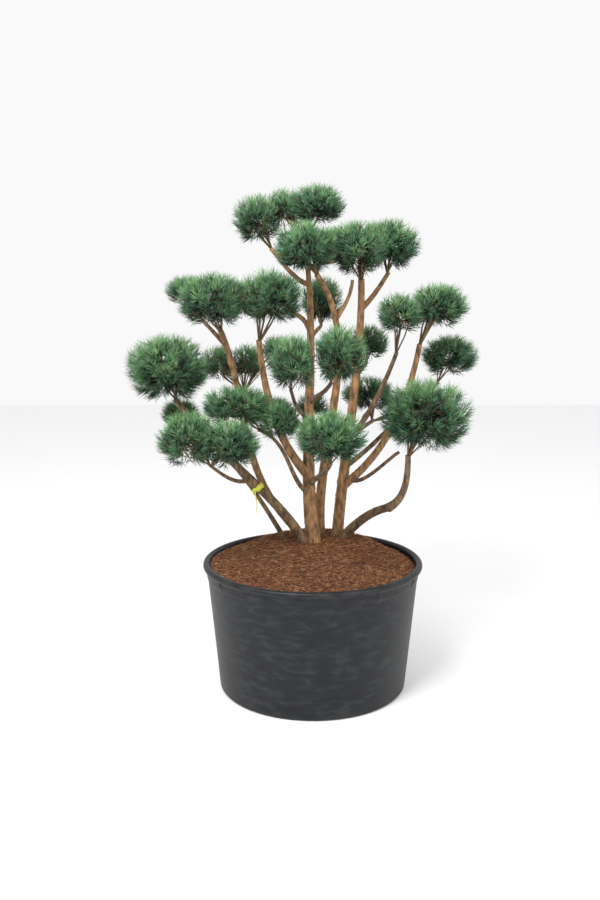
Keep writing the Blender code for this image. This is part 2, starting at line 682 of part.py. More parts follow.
def build_pot():
    points, faces = turned(pot_profile(), POT_SIDES)
    pot = add_object("pot", points, faces)
    top = POT_HEIGHT - 1.4 * RIM_ROLL
    bottom = POT_HEIGHT - 2.0 * RIM_ROLL - BAND_HEIGHT - BAND_STEP
    ribs = []
    for i in range(RIB_COUNT):
        turn = RIB_TURN + i * 2.0 * math.pi / RIB_COUNT
        out = np.array([math.cos(turn), math.sin(turn), 0.0])
        across = np.array([-out[1], out[0], 0.0])
        inside = wall_radius(bottom) - 0.5 * WALL
        corners = []
        for z, reach in ((bottom, BAND_STEP), (top, RIB_REACH)):
            outside = wall_radius(z) + reach
            corners += [out * r + across * s * RIB_WIDTH / 2.0 + (0.0, 0.0, z)
                        for r, s in ((inside, -1), (outside, -1), (outside, 1), (inside, 1))]
        ribs.append(add_object("rib", corners, ring_faces(2, 4)))
    boolean(pot, "UNION", ribs)
    keep_main_body(pot)
    finish(pot, principled("black_plastic", BLACK_PLASTIC, 0.45))


def build_mulch():
    """Fills the pot to its edge and rises to a flat-topped mound where the stems stand."""
    angles = np.arange(POT_SIDES) * 2.0 * math.pi / POT_SIDES
    circle = np.stack([np.cos(angles), np.sin(angles)], axis=1)
    clear = GAP / math.cos(math.pi / POT_SIDES)
    rings = []
    for height in (FLOOR + GAP, MULCH_SHOULDER):
        radius = inner_radius(height) - clear
        rings.append(np.column_stack([circle * radius, np.full(POT_SIDES, height)]))
    edge_height = MULCH_EDGE - MULCH_EDGE_DIP * (circle[:, 0] + circle[:, 1]) / math.sqrt(2.0)
    edge = circle * (RIM_RADIUS - MULCH_LIP)
    flat = np.array(MOUND_CENTRE) + MOUND_FLAT * circle
    for ring in range(MOUND_RINGS + 1):
        share = ring / MOUND_RINGS
        rise = 0.5 - 0.5 * math.cos(share * math.pi)
        heights = edge_height + (MULCH_TOP - edge_height) * rise
        rings.append(np.column_stack([edge + (flat - edge) * share, heights]))
    mulch = add_object("mulch", np.concatenate(rings), ring_faces(len(rings), POT_SIDES))
    finish(mulch, principled("coir", COIR_BROWN, 0.95))


def build_tie(limbs):
    """A plastic band round the left limb, with a knot below it and a hanging tail."""
    limb = limbs["stem_left"]
    places = np.linspace(0.0, 1.0, len(limb.points))
    middle = np.array([np.interp(TIE_SHARE, places, limb.points[:, k]) for k in range(3)])
    nearby = np.array([np.interp(TIE_SHARE + 0.02, places, limb.points[:, k]) for k in range(3)])
    along = unit(nearby - middle)
    side = unit(np.cross(along, (0.0, 1.0, 0.0)))
    other = np.cross(along, side)
    limb_radius = float(np.interp(TIE_SHARE - 0.03, places, limb.radii))
    inner = (limb_radius + 2.0 * GAP) / math.cos(math.pi / TIE_SIDES)
    angles = np.arange(TIE_SIDES) * 2.0 * math.pi / TIE_SIDES
    ring = np.outer(np.cos(angles), side) + np.outer(np.sin(angles), other)
    half = 0.5 * TIE_WIDTH * along
    outer = inner + TIE_THICKNESS
    loops = [middle + half + inner * ring, middle + half + outer * ring,
             middle - half + outer * ring, middle - half + inner * ring]
    faces = []
    for loop in range(4):
        for i in range(TIE_SIDES):
            after, here, there = (i + 1) % TIE_SIDES, loop * TIE_SIDES, (loop + 1) % 4 * TIE_SIDES
            faces.append([here + i, here + after, there + after, there + i])
    band = add_object("tie", np.concatenate(loops), faces)
    under = middle - (outer + 0.4 * TIE_KNOT_RADIUS) * unit(np.cross(np.cross(along, (0, 0, 1)), along))
    knot = bmesh.new()
    bmesh.ops.create_icosphere(knot, subdivisions=1, radius=TIE_KNOT_RADIUS)
    points = np.array([v.co[:] for v in knot.verts]) + under
    faces = [[v.index for v in f.verts] for f in knot.faces]
    knot.free()
    tail_end = under + (0.008, -0.004, -TIE_TAIL_LENGTH)
    boolean(band, "UNION", [add_object("knot", points, faces),
                            twig(under, tail_end, 0.0022, 0.0012)])
    keep_main_body(band)
    finish(band, principled("tie_plastic", TIE_YELLOW, 0.4))


def main():
    for obj in list(bpy.data.objects):
        bpy.data.objects.remove(obj)
    limbs = make_limbs()
    build_pot()
    build_mulch()
    for name in limbs:
        build_limb(name, limbs)
    build_tie(limbs)
    for index, name in enumerate(MASSES):
        build_mass(name, limbs, SEED + index)


main()
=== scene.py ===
# %% A cloud-pruned Scots pine in a nursery pot: set-up
import math

import bpy
import numpy as np
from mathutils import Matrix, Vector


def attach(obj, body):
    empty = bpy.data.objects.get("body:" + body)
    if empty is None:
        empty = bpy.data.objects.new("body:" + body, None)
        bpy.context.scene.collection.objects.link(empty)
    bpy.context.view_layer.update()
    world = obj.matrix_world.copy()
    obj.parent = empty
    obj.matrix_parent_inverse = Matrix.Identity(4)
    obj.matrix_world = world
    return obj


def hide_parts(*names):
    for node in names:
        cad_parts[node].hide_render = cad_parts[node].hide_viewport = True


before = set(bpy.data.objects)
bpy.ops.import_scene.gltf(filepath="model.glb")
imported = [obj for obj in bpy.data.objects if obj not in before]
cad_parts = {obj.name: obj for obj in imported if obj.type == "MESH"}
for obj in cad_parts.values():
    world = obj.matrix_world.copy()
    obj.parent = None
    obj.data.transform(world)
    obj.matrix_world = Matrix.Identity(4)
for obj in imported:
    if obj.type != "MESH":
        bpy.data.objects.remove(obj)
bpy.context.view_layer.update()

FULL_TURN = 2.0 * math.pi
print("solids:", len(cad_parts))

# %% [markdown]
# A mesh can be typed in by hand, modelled with tools, or worked out. Everything here repeats
# thousands of times or follows a formula, so each piece is worked out as numpy arrays of corners
# and triangles, and one helper turns the arrays into a Blender mesh.

# %% From arrays to a piece
def add_piece(name, points, triangles, materials, slot, nodes, shades=None, smooth=True):
    """Corners and triangles become one mesh that rides on the plant and stands for CAD nodes."""
    mesh = bpy.data.meshes.new(name)
    mesh.vertices.add(len(points))
    mesh.vertices.foreach_set("co", np.ascontiguousarray(points, dtype=np.float32).ravel())
    corners = np.ascontiguousarray(triangles, dtype=np.int32).ravel()
    mesh.loops.add(len(corners))
    mesh.loops.foreach_set("vertex_index", corners)
    mesh.polygons.add(len(triangles))
    mesh.polygons.foreach_set("loop_start", np.arange(0, len(corners), 3, dtype=np.int32))
    for material in materials:
        mesh.materials.append(material)
    if shades is not None:
        mesh.polygons.foreach_set("material_index", np.asarray(shades, dtype=np.int32))
    mesh.update(calc_edges=True)
    mesh.validate()
    if smooth:
        mesh.shade_smooth()
    piece = bpy.data.objects.new(name, mesh)
    bpy.context.scene.collection.objects.link(piece)
    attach(piece, "root")
    if nodes:
        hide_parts(*nodes)
    print(name, len(triangles), "triangles")


# %% [markdown]
# A round piece is a grid of rings. Spin or a bevelled curve could make it, but then the radius
# can't change round a ring, so the rings are computed and this skin is laid over them.

# %% Directions, and the skin over rings
SLANT = np.array([0.31, 0.52, 0.79])


def unit(vectors):
    """Each vector divided by its own length."""
    return vectors / np.linalg.norm(vectors, axis=-1, keepdims=True)


def across(along):
    """Two directions square to each given one: its cross product with a slant, then with that."""
    side = unit(np.cross(along, SLANT))
    return side, np.cross(along, side)


def even_turns(count):
    """Angles that share out a full turn evenly."""
    return np.arange(count) * FULL_TURN / count


def around(turn, side, other):
    """Unit circle: cosine of the turn times one direction, plus its sine times the other."""
    return np.cos(turn)[..., None] * side + np.sin(turn)[..., None] * other


def skin(rows, columns):
    """Two triangles for each cell of a grid that closes on itself, and a fan over each end."""
    row, column = np.meshgrid(np.arange(rows - 1), np.arange(columns), indexing="ij")
    after = (column + 1) % columns
    a, b = row * columns + column, row * columns + after
    c, d = (row + 1) * columns + after, (row + 1) * columns + column
    halves = [np.stack(corners, -1).reshape(-1, 3) for corners in ((a, b, c), (a, c, d))]
    ring = np.arange(columns)
    turned = np.roll(ring, -1)
    last = (rows - 1) * columns
    start = np.stack([turned, ring, np.full(columns, rows * columns)], -1)
    end = np.stack([last + ring, last + turned, np.full(columns, rows * columns + 1)], -1)
    return np.concatenate([*halves, start, end])


def tube_points(rings):
    """The rings one after another, then the middle of the first ring and of the last."""
    return np.concatenate([rings.reshape(-1, 3), [rings[0].mean(0)], [rings[-1].mean(0)]])


print("three rings of four corners:", len(skin(3, 4)), "triangles")

# %% [markdown]
# Twigs, strands and needles are repeated thousands of times, so each has only a few faces. They
# could be instances of one mesh, but then each would be an object of its own. Here all copies are
# worked out at once and share one mesh.

# %% Rods and needles, all at once
ROD_SIDES = 4
KNEE_SHARE = 0.4
SPINDLE = np.array([(2, 1, 0), (3, 2, 0), (1, 3, 0), (1, 2, 4), (2, 3, 4), (3, 1, 4)])
SPINDLE_CORNERS = 5


def rods(starts, ends, start_radius, end_radius):
    """Tapering rods: a ring of its own radius at each end, and a fan over it."""
    side, other = across(unit(ends - starts)[:, None])
    ring = around(even_turns(ROD_SIDES), side, other)
    low = starts[:, None] + np.reshape(start_radius, (-1, 1, 1)) * ring
    high = ends[:, None] + np.reshape(end_radius, (-1, 1, 1)) * ring
    points = np.concatenate([low, high, starts[:, None], ends[:, None]], axis=1)
    first = np.arange(len(starts)) * (2 * ROD_SIDES + 2)
    triangles = skin(2, ROD_SIDES)[None] + first[:, None, None]
    return points.reshape(-1, 3), triangles.reshape(-1, 3)


def spindles(roots, tips, bend, radius):
    """Bent needles of six faces: a root, a triangle two fifths of the way along, and a tip."""
    middle = roots + KNEE_SHARE * (tips - roots) + bend
    side, other = across(unit(tips - roots)[:, None])
    ring = around(even_turns(3), side, other)
    ring = middle[:, None] + np.reshape(radius, (-1, 1, 1)) * ring
    points = np.concatenate([roots[:, None], ring, tips[:, None]], axis=1)
    triangles = SPINDLE[None] + (np.arange(len(roots)) * SPINDLE_CORNERS)[:, None, None]
    return points.reshape(-1, 3), triangles.reshape(-1, 3)


print("a rod:", len(skin(2, ROD_SIDES)), "triangles; a needle:", len(SPINDLE), "triangles")

# %% [markdown]
# A finish is a Principled shader with a pattern feeding it. The pattern could be painted, but noise
# on object coordinates needs no picture and keeps its scale in metres, so a finish here mixes two
# or three plain colours by noise, and may lift the surface by the same noise as bump.

# %% Two kinds of finish
NOISE_DETAIL = 6.0
FIRST_STOP = 0.32
STOP_SPAN = 0.36


def mottled(name, colours, scale, stretch=(1.0, 1.0, 1.0), roughness=(0.5, 0.8),
            bump=0.0, bump_depth=0.001):
    """Noise picks a colour from the list, a roughness between two values, and a height."""
    material = bpy.data.materials.new(name)
    material.use_nodes = True
    tree = material.node_tree
    shader = tree.nodes["Principled BSDF"]
    place = tree.nodes.new("ShaderNodeTexCoord")
    mapping = tree.nodes.new("ShaderNodeMapping")
    mapping.inputs["Scale"].default_value = stretch
    noise = tree.nodes.new("ShaderNodeTexNoise")
    noise.inputs["Scale"].default_value = scale
    noise.inputs["Detail"].default_value = NOISE_DETAIL
    ramp = tree.nodes.new("ShaderNodeValToRGB")
    stops = ramp.color_ramp.elements
    while len(stops) < len(colours):
        stops.new(0.5)
    for i, colour in enumerate(colours):
        stops[i].position = FIRST_STOP + STOP_SPAN * i / (len(colours) - 1)
        stops[i].color = (*colour, 1.0)
    rough = tree.nodes.new("ShaderNodeMapRange")
    rough.inputs["To Min"].default_value = roughness[0]
    rough.inputs["To Max"].default_value = roughness[1]
    tree.links.new(place.outputs["Object"], mapping.inputs["Vector"])
    tree.links.new(mapping.outputs["Vector"], noise.inputs["Vector"])
    tree.links.new(noise.outputs["Fac"], ramp.inputs["Fac"])
    tree.links.new(noise.outputs["Fac"], rough.inputs["Value"])
    tree.links.new(ramp.outputs["Color"], shader.inputs["Base Color"])
    tree.links.new(rough.outputs["Result"], shader.inputs["Roughness"])
    if bump:
        lift = tree.nodes.new("ShaderNodeBump")
        lift.inputs["Strength"].default_value = bump
        lift.inputs["Distance"].default_value = bump_depth
        tree.links.new(noise.outputs["Fac"], lift.inputs["Height"])
        tree.links.new(lift.outputs["Normal"], shader.inputs["Normal"])
    return material


def plain(name, colour, roughness):
    """One base colour, for fine pieces that are too thin to carry a pattern."""
    material = bpy.data.materials.new(name)
    material.use_nodes = True
    shader = material.node_tree.nodes["Principled BSDF"]
    shader.inputs["Base Color"].default_value = (*colour, 1.0)
    shader.inputs["Roughness"].default_value = roughness
    return material


print("colours change between", FIRST_STOP, "and", round(FIRST_STOP + STOP_SPAN, 2), "of the noise")

# %% Plastic, bark and coir
PLASTIC_SPECULAR = 0.28

black_plastic = mottled(
    "black_plastic", ((0.0055, 0.0060, 0.0075), (0.009, 0.010, 0.012), (0.022, 0.023, 0.024)),
    16.0, (1.0, 1.0, 3.0), (0.36, 0.56), 0.15, 0.0006)
black_shader = black_plastic.node_tree.nodes["Principled BSDF"]
black_shader.inputs["Specular IOR Level"].default_value = PLASTIC_SPECULAR
bark = mottled(
    "pine_bark", ((0.050, 0.033, 0.021), (0.150, 0.094, 0.050), (0.280, 0.175, 0.088)),
    70.0, (1.0, 1.0, 0.35), (0.75, 0.95), 0.9, 0.003)
upper_bark = mottled(
    "orange_bark", ((0.095, 0.052, 0.025), (0.260, 0.140, 0.060), (0.430, 0.245, 0.105)),
    80.0, (1.0, 1.0, 0.35), (0.70, 0.92), 0.8, 0.002)
twig_bark = mottled(
    "twig_bark", ((0.090, 0.055, 0.028), (0.230, 0.140, 0.065)), 120.0, roughness=(0.8, 0.95))
coir_bed = mottled(
    "coir_bed", ((0.030, 0.012, 0.006), (0.110, 0.042, 0.018), (0.230, 0.095, 0.040)),
    90.0, roughness=(0.85, 1.0), bump=1.0, bump_depth=0.006)
tie_plastic = mottled(
    "tie_plastic", ((0.560, 0.620, 0.040), (0.820, 0.850, 0.100)), 60.0, roughness=(0.3, 0.5))
coir_strands = [
    plain("coir_dark", (0.060, 0.022, 0.010), 0.95),
    plain("coir_brown", (0.240, 0.090, 0.034), 0.9),
    plain("coir_orange", (0.420, 0.170, 0.062), 0.9),
    plain("coir_light", (0.600, 0.340, 0.165), 0.85)]
# Five steps of one needle green in painted light and shade, from deep shade inside a pad to full
# light on top.
painted_needle_shades = [
    plain("needles_painted_deep_shade", (0.010, 0.028, 0.012), 0.7),
    plain("needles_painted_shade", (0.026, 0.072, 0.030), 0.55),
    plain("needles_painted_half_shade", (0.052, 0.140, 0.066), 0.5),
    plain("needles_painted_half_light", (0.085, 0.205, 0.078), 0.48),
    plain("needles_painted_light", (0.165, 0.325, 0.130), 0.45)]
print("finishes:", len(bpy.data.materials))

# %% [markdown]
# The pot is a moulded plastic tub. It could be a spun curve, but its ribs and mould lines depend on
# both height and turn, so it is one grid: a profile of radius and height carried round the axis,
# with small offsets added to the radius.

# %% The pot's profile
POT_HEIGHT = 0.503
RIM_RADIUS = 0.425
RIM_ROLL = 0.013
WALL_TOP_RADIUS = 0.410
BASE_RADIUS = 0.364
WALL = 0.008
FLOOR = 0.010
BAND_HEIGHT = 0.030
BAND_STEP = 0.0025
BAND_TOP_GAP = 0.001
BAND_FOOT_GAP = 0.0015
BASE_ROUND = 0.014
ROLL_ANGLES = (190.0, -75.0)
FOOT_ANGLES = (12.0, 90.0)
UNDER_RIM = POT_HEIGHT - 2.0 * RIM_ROLL
INNER_ROWS, ROLL_ROWS, BAND_ROWS, WALL_ROWS, FOOT_ROWS = 12, 22, 9, 90, 8


def wall_radius(height):
    """Straight taper: the base radius, plus the widening times the height's share of the wall."""
    return BASE_RADIUS + (WALL_TOP_RADIUS - BASE_RADIUS) * height / UNDER_RIM


def pot_profile():
    """Radius and height from the inner floor up, over the rolled rim, and down to the base."""
    inner = [(wall_radius(z) - WALL, z) for z in np.linspace(FLOOR, UNDER_RIM, INNER_ROWS)]
    roll = [(RIM_RADIUS - RIM_ROLL + RIM_ROLL * math.cos(a),
             POT_HEIGHT - RIM_ROLL + RIM_ROLL * math.sin(a))
            for a in np.radians(np.linspace(*ROLL_ANGLES, ROLL_ROWS))]
    band_low = UNDER_RIM - BAND_HEIGHT
    band = [(wall_radius(z) + BAND_STEP, z)
            for z in np.linspace(UNDER_RIM - BAND_TOP_GAP, band_low, BAND_ROWS)]
    wall = [(wall_radius(z), z)
            for z in np.linspace(band_low - BAND_FOOT_GAP, BASE_ROUND, WALL_ROWS)]
    foot = [(wall_radius(BASE_ROUND) - BASE_ROUND * (1.0 - math.cos(a)),
             BASE_ROUND - BASE_ROUND * math.sin(a))
            for a in np.radians(np.linspace(*FOOT_ANGLES, FOOT_ROWS))]
    return np.array(inner + roll + band + wall + foot)


print("pot profile:", len(pot_profile()), "rings")

# %% The pot carried round, with its ribs and mould lines
POT_TURNS = 288
MOULD_LINES = (0.395, 0.318, 0.075)
MOULD_DEPTH = 0.0007
MOULD_WIDTH = 0.0022
WALL_WOBBLE = 0.0006
WOBBLES_ROUND, WOBBLE_PHASE, WOBBLE_PER_METRE = 3.0, 1.1, 9.0
RIB_COUNT = 12
RIB_TURN = math.radians(-86.0)
RIB_WIDTH = 0.0034
RIB_MARGIN = 0.004
RIB_FOOT = 0.002
RIB_GROWTH = 0.006


def make_pot():
    """Radius of the profile, less a bell for each mould line, plus a slight wave, plus a rib where
    the turn is near one: the exponential of minus the fourth power of the distance to it."""
    profile = pot_profile()
    angle = even_turns(POT_TURNS)
    radius = np.repeat(profile[:, :1], POT_TURNS, 1)
    height = np.repeat(profile[:, 1:], POT_TURNS, 1)
    outside = (np.arange(len(profile)) >= INNER_ROWS + ROLL_ROWS)[:, None]
    for line in MOULD_LINES:
        radius = radius - outside * MOULD_DEPTH * np.exp(-((height - line) / MOULD_WIDTH) ** 2)
    wave_round = np.sin(WOBBLES_ROUND * angle + WOBBLE_PHASE)
    radius = radius + outside * WALL_WOBBLE * wave_round * np.sin(WOBBLE_PER_METRE * height)
    half = math.pi / RIB_COUNT
    nearest = np.abs((angle - RIB_TURN + half) % (FULL_TURN / RIB_COUNT) - half)
    rib = np.exp(-(nearest * RIM_RADIUS / RIB_WIDTH) ** 4)
    band_low = UNDER_RIM - BAND_HEIGHT
    under = (height < UNDER_RIM + RIB_MARGIN) & (height > band_low - RIB_MARGIN)
    share = np.clip((height - band_low) / BAND_HEIGHT, 0.0, 1.0)
    radius = radius + outside * under * rib * (RIB_FOOT + RIB_GROWTH * share)
    rings = np.stack([radius * np.cos(angle), radius * np.sin(angle), height], axis=-1)
    return tube_points(rings), skin(len(profile), POT_TURNS)[:, ::-1]


add_piece("pot_shell", *make_pot(), [black_plastic], "pot", ["pot"])

# %% [markdown]
# The mulch is loose coir. A flat disc would look like paint, and a particle system would not be
# exported, so it is a mound of soil with thousands of real strands lying on it.

# %% The mound of mulch
MULCH_TOP = 0.540
MULCH_EDGE = 0.486
MULCH_EDGE_DIP = 0.008
MULCH_REACH = 0.3975
MOUND_CENTRE = np.array((0.020, 0.130))
MOUND_FLAT = 0.170
MIDDLE_SHARE = 2.0
INNERMOST = 1.98
BED_TURNS = 220
BED_RINGS = 70
BED_WAVE = 0.0022
WAVE_ONE, WAVE_TWO = (61.0, 17.0), (-23.0, 47.0)
BED_GRAIN = 0.0012
BED_SINK = 0.001
BED_SKIRT = 0.03
BED_FADE_IN = 12.0
random = np.random.default_rng(1957)


def mulch_place(share, angle):
    """From the pot's edge, share 0, up half a cosine to the flat top, share 1, to the middle, 2."""
    circle = np.stack([np.cos(angle), np.sin(angle)], -1)
    low = MULCH_EDGE - MULCH_EDGE_DIP * (circle[..., 0] + circle[..., 1]) / math.sqrt(2.0)
    edge, flat = MULCH_REACH * circle, MOUND_CENTRE + MOUND_FLAT * circle
    climb = np.clip(share, 0.0, 1.0)
    rise = 0.5 - 0.5 * np.cos(climb * math.pi)
    plan = edge + (flat - edge) * climb[..., None]
    inward = np.clip(share - 1.0, 0.0, 1.0)[..., None]
    plan = plan + (MOUND_CENTRE - plan) * inward
    return np.concatenate([plan, (low + (MULCH_TOP - low) * rise)[..., None]], -1)


def make_bed():
    """The mound's grid from edge to middle, plus crossed waves and a random grain."""
    share, angle = np.meshgrid(np.linspace(0.0, INNERMOST, BED_RINGS), even_turns(BED_TURNS),
                               indexing="ij")
    places = mulch_place(share, angle)
    x, y = places[..., 0], places[..., 1]
    crossed = np.sin(WAVE_TWO[0] * x + WAVE_TWO[1] * y)
    wave = BED_WAVE * np.sin(WAVE_ONE[0] * x + WAVE_ONE[1] * y) * crossed
    grain = BED_GRAIN * random.uniform(-1.0, 1.0, x.shape)
    places[..., 2] += (wave + grain) * np.clip(share * BED_FADE_IN, 0.0, 1.0) - BED_SINK
    skirt = places[:1].copy()
    skirt[..., 2] -= BED_SKIRT
    return tube_points(np.concatenate([skirt, places])), skin(BED_RINGS + 1, BED_TURNS)


add_piece("mulch_bed", *make_bed(), [coir_bed], "mulch", ["mulch"])

# %% [markdown]
# The strands lie every way on the mound. Laying them by hand is out of reach, so each gets a random
# place, turn, length and bend, and one of four browns.

# %% Loose strands on the mulch
STRAND_COUNT = 26000
OUTERMOST = 0.015
STRAND_LENGTH = (0.012, 0.042)
STRAND_RADIUS = (0.0005, 0.0011)
STRAND_TILT = 0.16
STRAND_LIFT = (0.0008, 0.0050)
STRAND_BEND = 0.0026
BEND_SHARES = (1.0, 1.0, 0.4)
STRAND_EDGE = 0.002
BROWN_SHARES = (0.24, 0.38, 0.27, 0.11)


def make_strands():
    """A strand's ends: its place, less and plus half its length along its turn and slight tilt.
    The places' shares are 2 less the root of an even draw, which covers the mound evenly."""
    spread = MIDDLE_SHARE - np.sqrt(random.uniform(0.0, MIDDLE_SHARE**2, STRAND_COUNT))
    places = mulch_place(np.clip(spread, OUTERMOST, INNERMOST),
                         random.uniform(0.0, FULL_TURN, STRAND_COUNT))
    turn = random.uniform(0.0, FULL_TURN, STRAND_COUNT)
    length = random.uniform(*STRAND_LENGTH, STRAND_COUNT)
    tilt = random.normal(0.0, STRAND_TILT, STRAND_COUNT)
    run = np.stack([np.cos(turn), np.sin(turn), np.sin(tilt)], -1) * length[:, None]
    places[:, 2] += random.uniform(*STRAND_LIFT, STRAND_COUNT)
    start, end = places - run / 2.0, places + run / 2.0
    inside = np.hypot(end[:, 0], end[:, 1]) < MULCH_REACH - STRAND_EDGE
    inside &= np.hypot(start[:, 0], start[:, 1]) < MULCH_REACH - STRAND_EDGE
    start, end = start[inside], end[inside]
    bend = random.normal(0.0, STRAND_BEND, start.shape) * BEND_SHARES
    brown = random.choice(len(BROWN_SHARES), len(start), p=BROWN_SHARES)
    points, triangles = spindles(start, end, bend, random.uniform(*STRAND_RADIUS, len(start)))
    return points, triangles, np.repeat(brown, len(SPINDLE))


strand_points, strand_triangles, strand_browns = make_strands()
add_piece("mulch_strands", strand_points, strand_triangles, coir_strands, "mulch", [],
          strand_browns)

# %% [markdown]
# Every limb is one smooth line with a radius along it. The line could be drawn as a curve object,
# but the same line also says where boughs leave and where foliage must keep clear, so it is worked
# out here from four places: a cubic passes through all four.

# %% The stems' places: foot, low, high, tip, foot radius, tip radius
STEMS = {
    "stem_front": ((0.010, 0.105), (-0.015, 0.097, 0.93), (-0.008, 0.112, 1.38),
                   (-0.030, 0.150, 1.720), 0.029, 0.0075),
    "stem_back": ((0.042, 0.188), (0.062, 0.160, 0.93), (0.092, 0.085, 1.40),
                  (0.012, -0.028, 1.590), 0.021, 0.010),
    "stem_right": ((0.107, 0.205), (0.135, 0.165, 0.87), (0.176, 0.140, 1.25),
                   (0.184, 0.085, 1.575), 0.024, 0.012),
    "stem_left": ((-0.037, 0.100), (-0.200, 0.018, 0.775), (-0.385, 0.008, 0.963),
                  (-0.522, 0.008, 1.130), 0.021, 0.010),
    "stem_left_thin": ((-0.106, 0.122), (-0.235, 0.122, 0.751), (-0.395, 0.140, 0.925),
                       (-0.500, 0.160, 0.990), 0.0105, 0.006),
    "stem_right_low": ((0.124, 0.162), (0.168, 0.105, 0.607), (0.220, 0.050, 0.664),
                       (0.290, -0.025, 0.712), 0.020, 0.0155),
}

# %% The boughs' places: the parent, the height where they leave it, and as above
BOUGHS = {
    "bough_right_rise": ("stem_right_low", 0.712, (0.334, -0.060, 0.768), (0.351, -0.088, 0.850),
                         (0.352, -0.100, 0.930), 0.0148, 0.010),
    "bough_center_low": ("stem_front", 0.775, (0.020, 0.020, 0.823), (0.045, -0.080, 0.866),
                         (0.060, -0.180, 0.912), 0.010, 0.008),
    "bough_left_back": ("stem_left", 0.630, (-0.225, 0.065, 0.867), (-0.293, 0.040, 1.189),
                        (-0.345, -0.015, 1.385), 0.015, 0.011),
    "bough_left_front": ("stem_front", 0.815, (-0.100, 0.058, 0.940), (-0.180, 0.030, 1.180),
                         (-0.203, -0.010, 1.350), 0.018, 0.010),
    "bough_mid_left": ("stem_front", 0.745, (-0.063, 0.030, 0.813), (-0.121, -0.030, 0.945),
                       (-0.205, -0.080, 1.022), 0.009, 0.006),
    "bough_lower_left": ("stem_left", 0.818, (-0.290, -0.055, 0.824), (-0.345, -0.125, 0.868),
                         (-0.378, -0.172, 0.905), 0.008, 0.0055),
    "bough_right_main": ("stem_right", 0.755, (0.256, 0.140, 0.900), (0.375, 0.110, 1.160),
                         (0.410, 0.080, 1.330), 0.016, 0.010),
    "bough_right_small": ("stem_right", 0.835, (0.242, 0.182, 0.923), (0.400, 0.215, 1.075),
                          (0.510, 0.220, 1.170), 0.010, 0.006),
    "bough_right_inner": ("stem_right", 0.950, (0.222, 0.112, 1.065), (0.285, 0.085, 1.200),
                          (0.318, 0.045, 1.300), 0.011, 0.008),
    "bough_right_under": ("bough_right_main", 0.785, (0.200, 0.090, 0.802), (0.255, 0.040, 0.852),
                          (0.322, -0.045, 0.930), 0.008, 0.006),
    "bough_upper_right": ("stem_right", 1.465, (0.226, 0.150, 1.502), (0.265, 0.185, 1.552),
                          (0.300, 0.220, 1.602), 0.010, 0.008),
    "bough_upper_twin": ("stem_back", 1.425, (0.115, 0.072, 1.468), (0.137, 0.062, 1.515),
                         (0.148, 0.050, 1.572), 0.008, 0.006),
    "bough_top_left": ("stem_front", 1.555, (-0.085, 0.105, 1.602), (-0.130, 0.112, 1.655),
                       (-0.160, 0.125, 1.690), 0.009, 0.007),
    "bough_center_right": ("stem_front", 1.105, (0.016, 0.030, 1.135), (0.040, -0.070, 1.165),
                           (0.062, -0.165, 1.205), 0.010, 0.007),
    "bough_center_left": ("stem_front", 1.035, (-0.055, 0.035, 1.085), (-0.074, -0.050, 1.135),
                          (-0.084, -0.135, 1.178), 0.008, 0.006),
    "bough_back_top": ("stem_front", 1.345, (0.008, 0.185, 1.368), (0.025, 0.240, 1.382),
                       (0.038, 0.295, 1.395), 0.009, 0.007),
    "bough_rear_left": ("stem_front", 1.375, (-0.048, 0.160, 1.432), (-0.120, 0.240, 1.450),
                        (-0.220, 0.350, 1.440), 0.009, 0.007),
    "bough_rear_high": ("stem_front", 1.610, (0.020, 0.210, 1.635), (0.065, 0.290, 1.645),
                        (0.098, 0.355, 1.650), 0.008, 0.0065),
    "bough_back_left": ("stem_front", 0.980, (-0.090, 0.190, 1.035), (-0.190, 0.260, 1.082),
                        (-0.285, 0.295, 1.130), 0.010, 0.0075),
    "bough_back_right": ("stem_right", 1.200, (0.190, 0.195, 1.218), (0.208, 0.245, 1.230),
                         (0.224, 0.295, 1.245), 0.009, 0.007),
    "bough_back_right_low": ("stem_right", 0.900, (0.160, 0.230, 0.940), (0.205, 0.290, 0.972),
                             (0.260, 0.340, 1.000), 0.010, 0.008),
    "bough_back_low": ("stem_back", 0.830, (0.048, 0.225, 0.885), (0.012, 0.290, 0.935),
                       (-0.035, 0.350, 0.975), 0.009, 0.007),
    "bough_upper_left_back": ("bough_left_back", 1.330, (-0.375, 0.060, 1.375),
                              (-0.420, 0.140, 1.412), (-0.465, 0.215, 1.450), 0.008, 0.006),
}

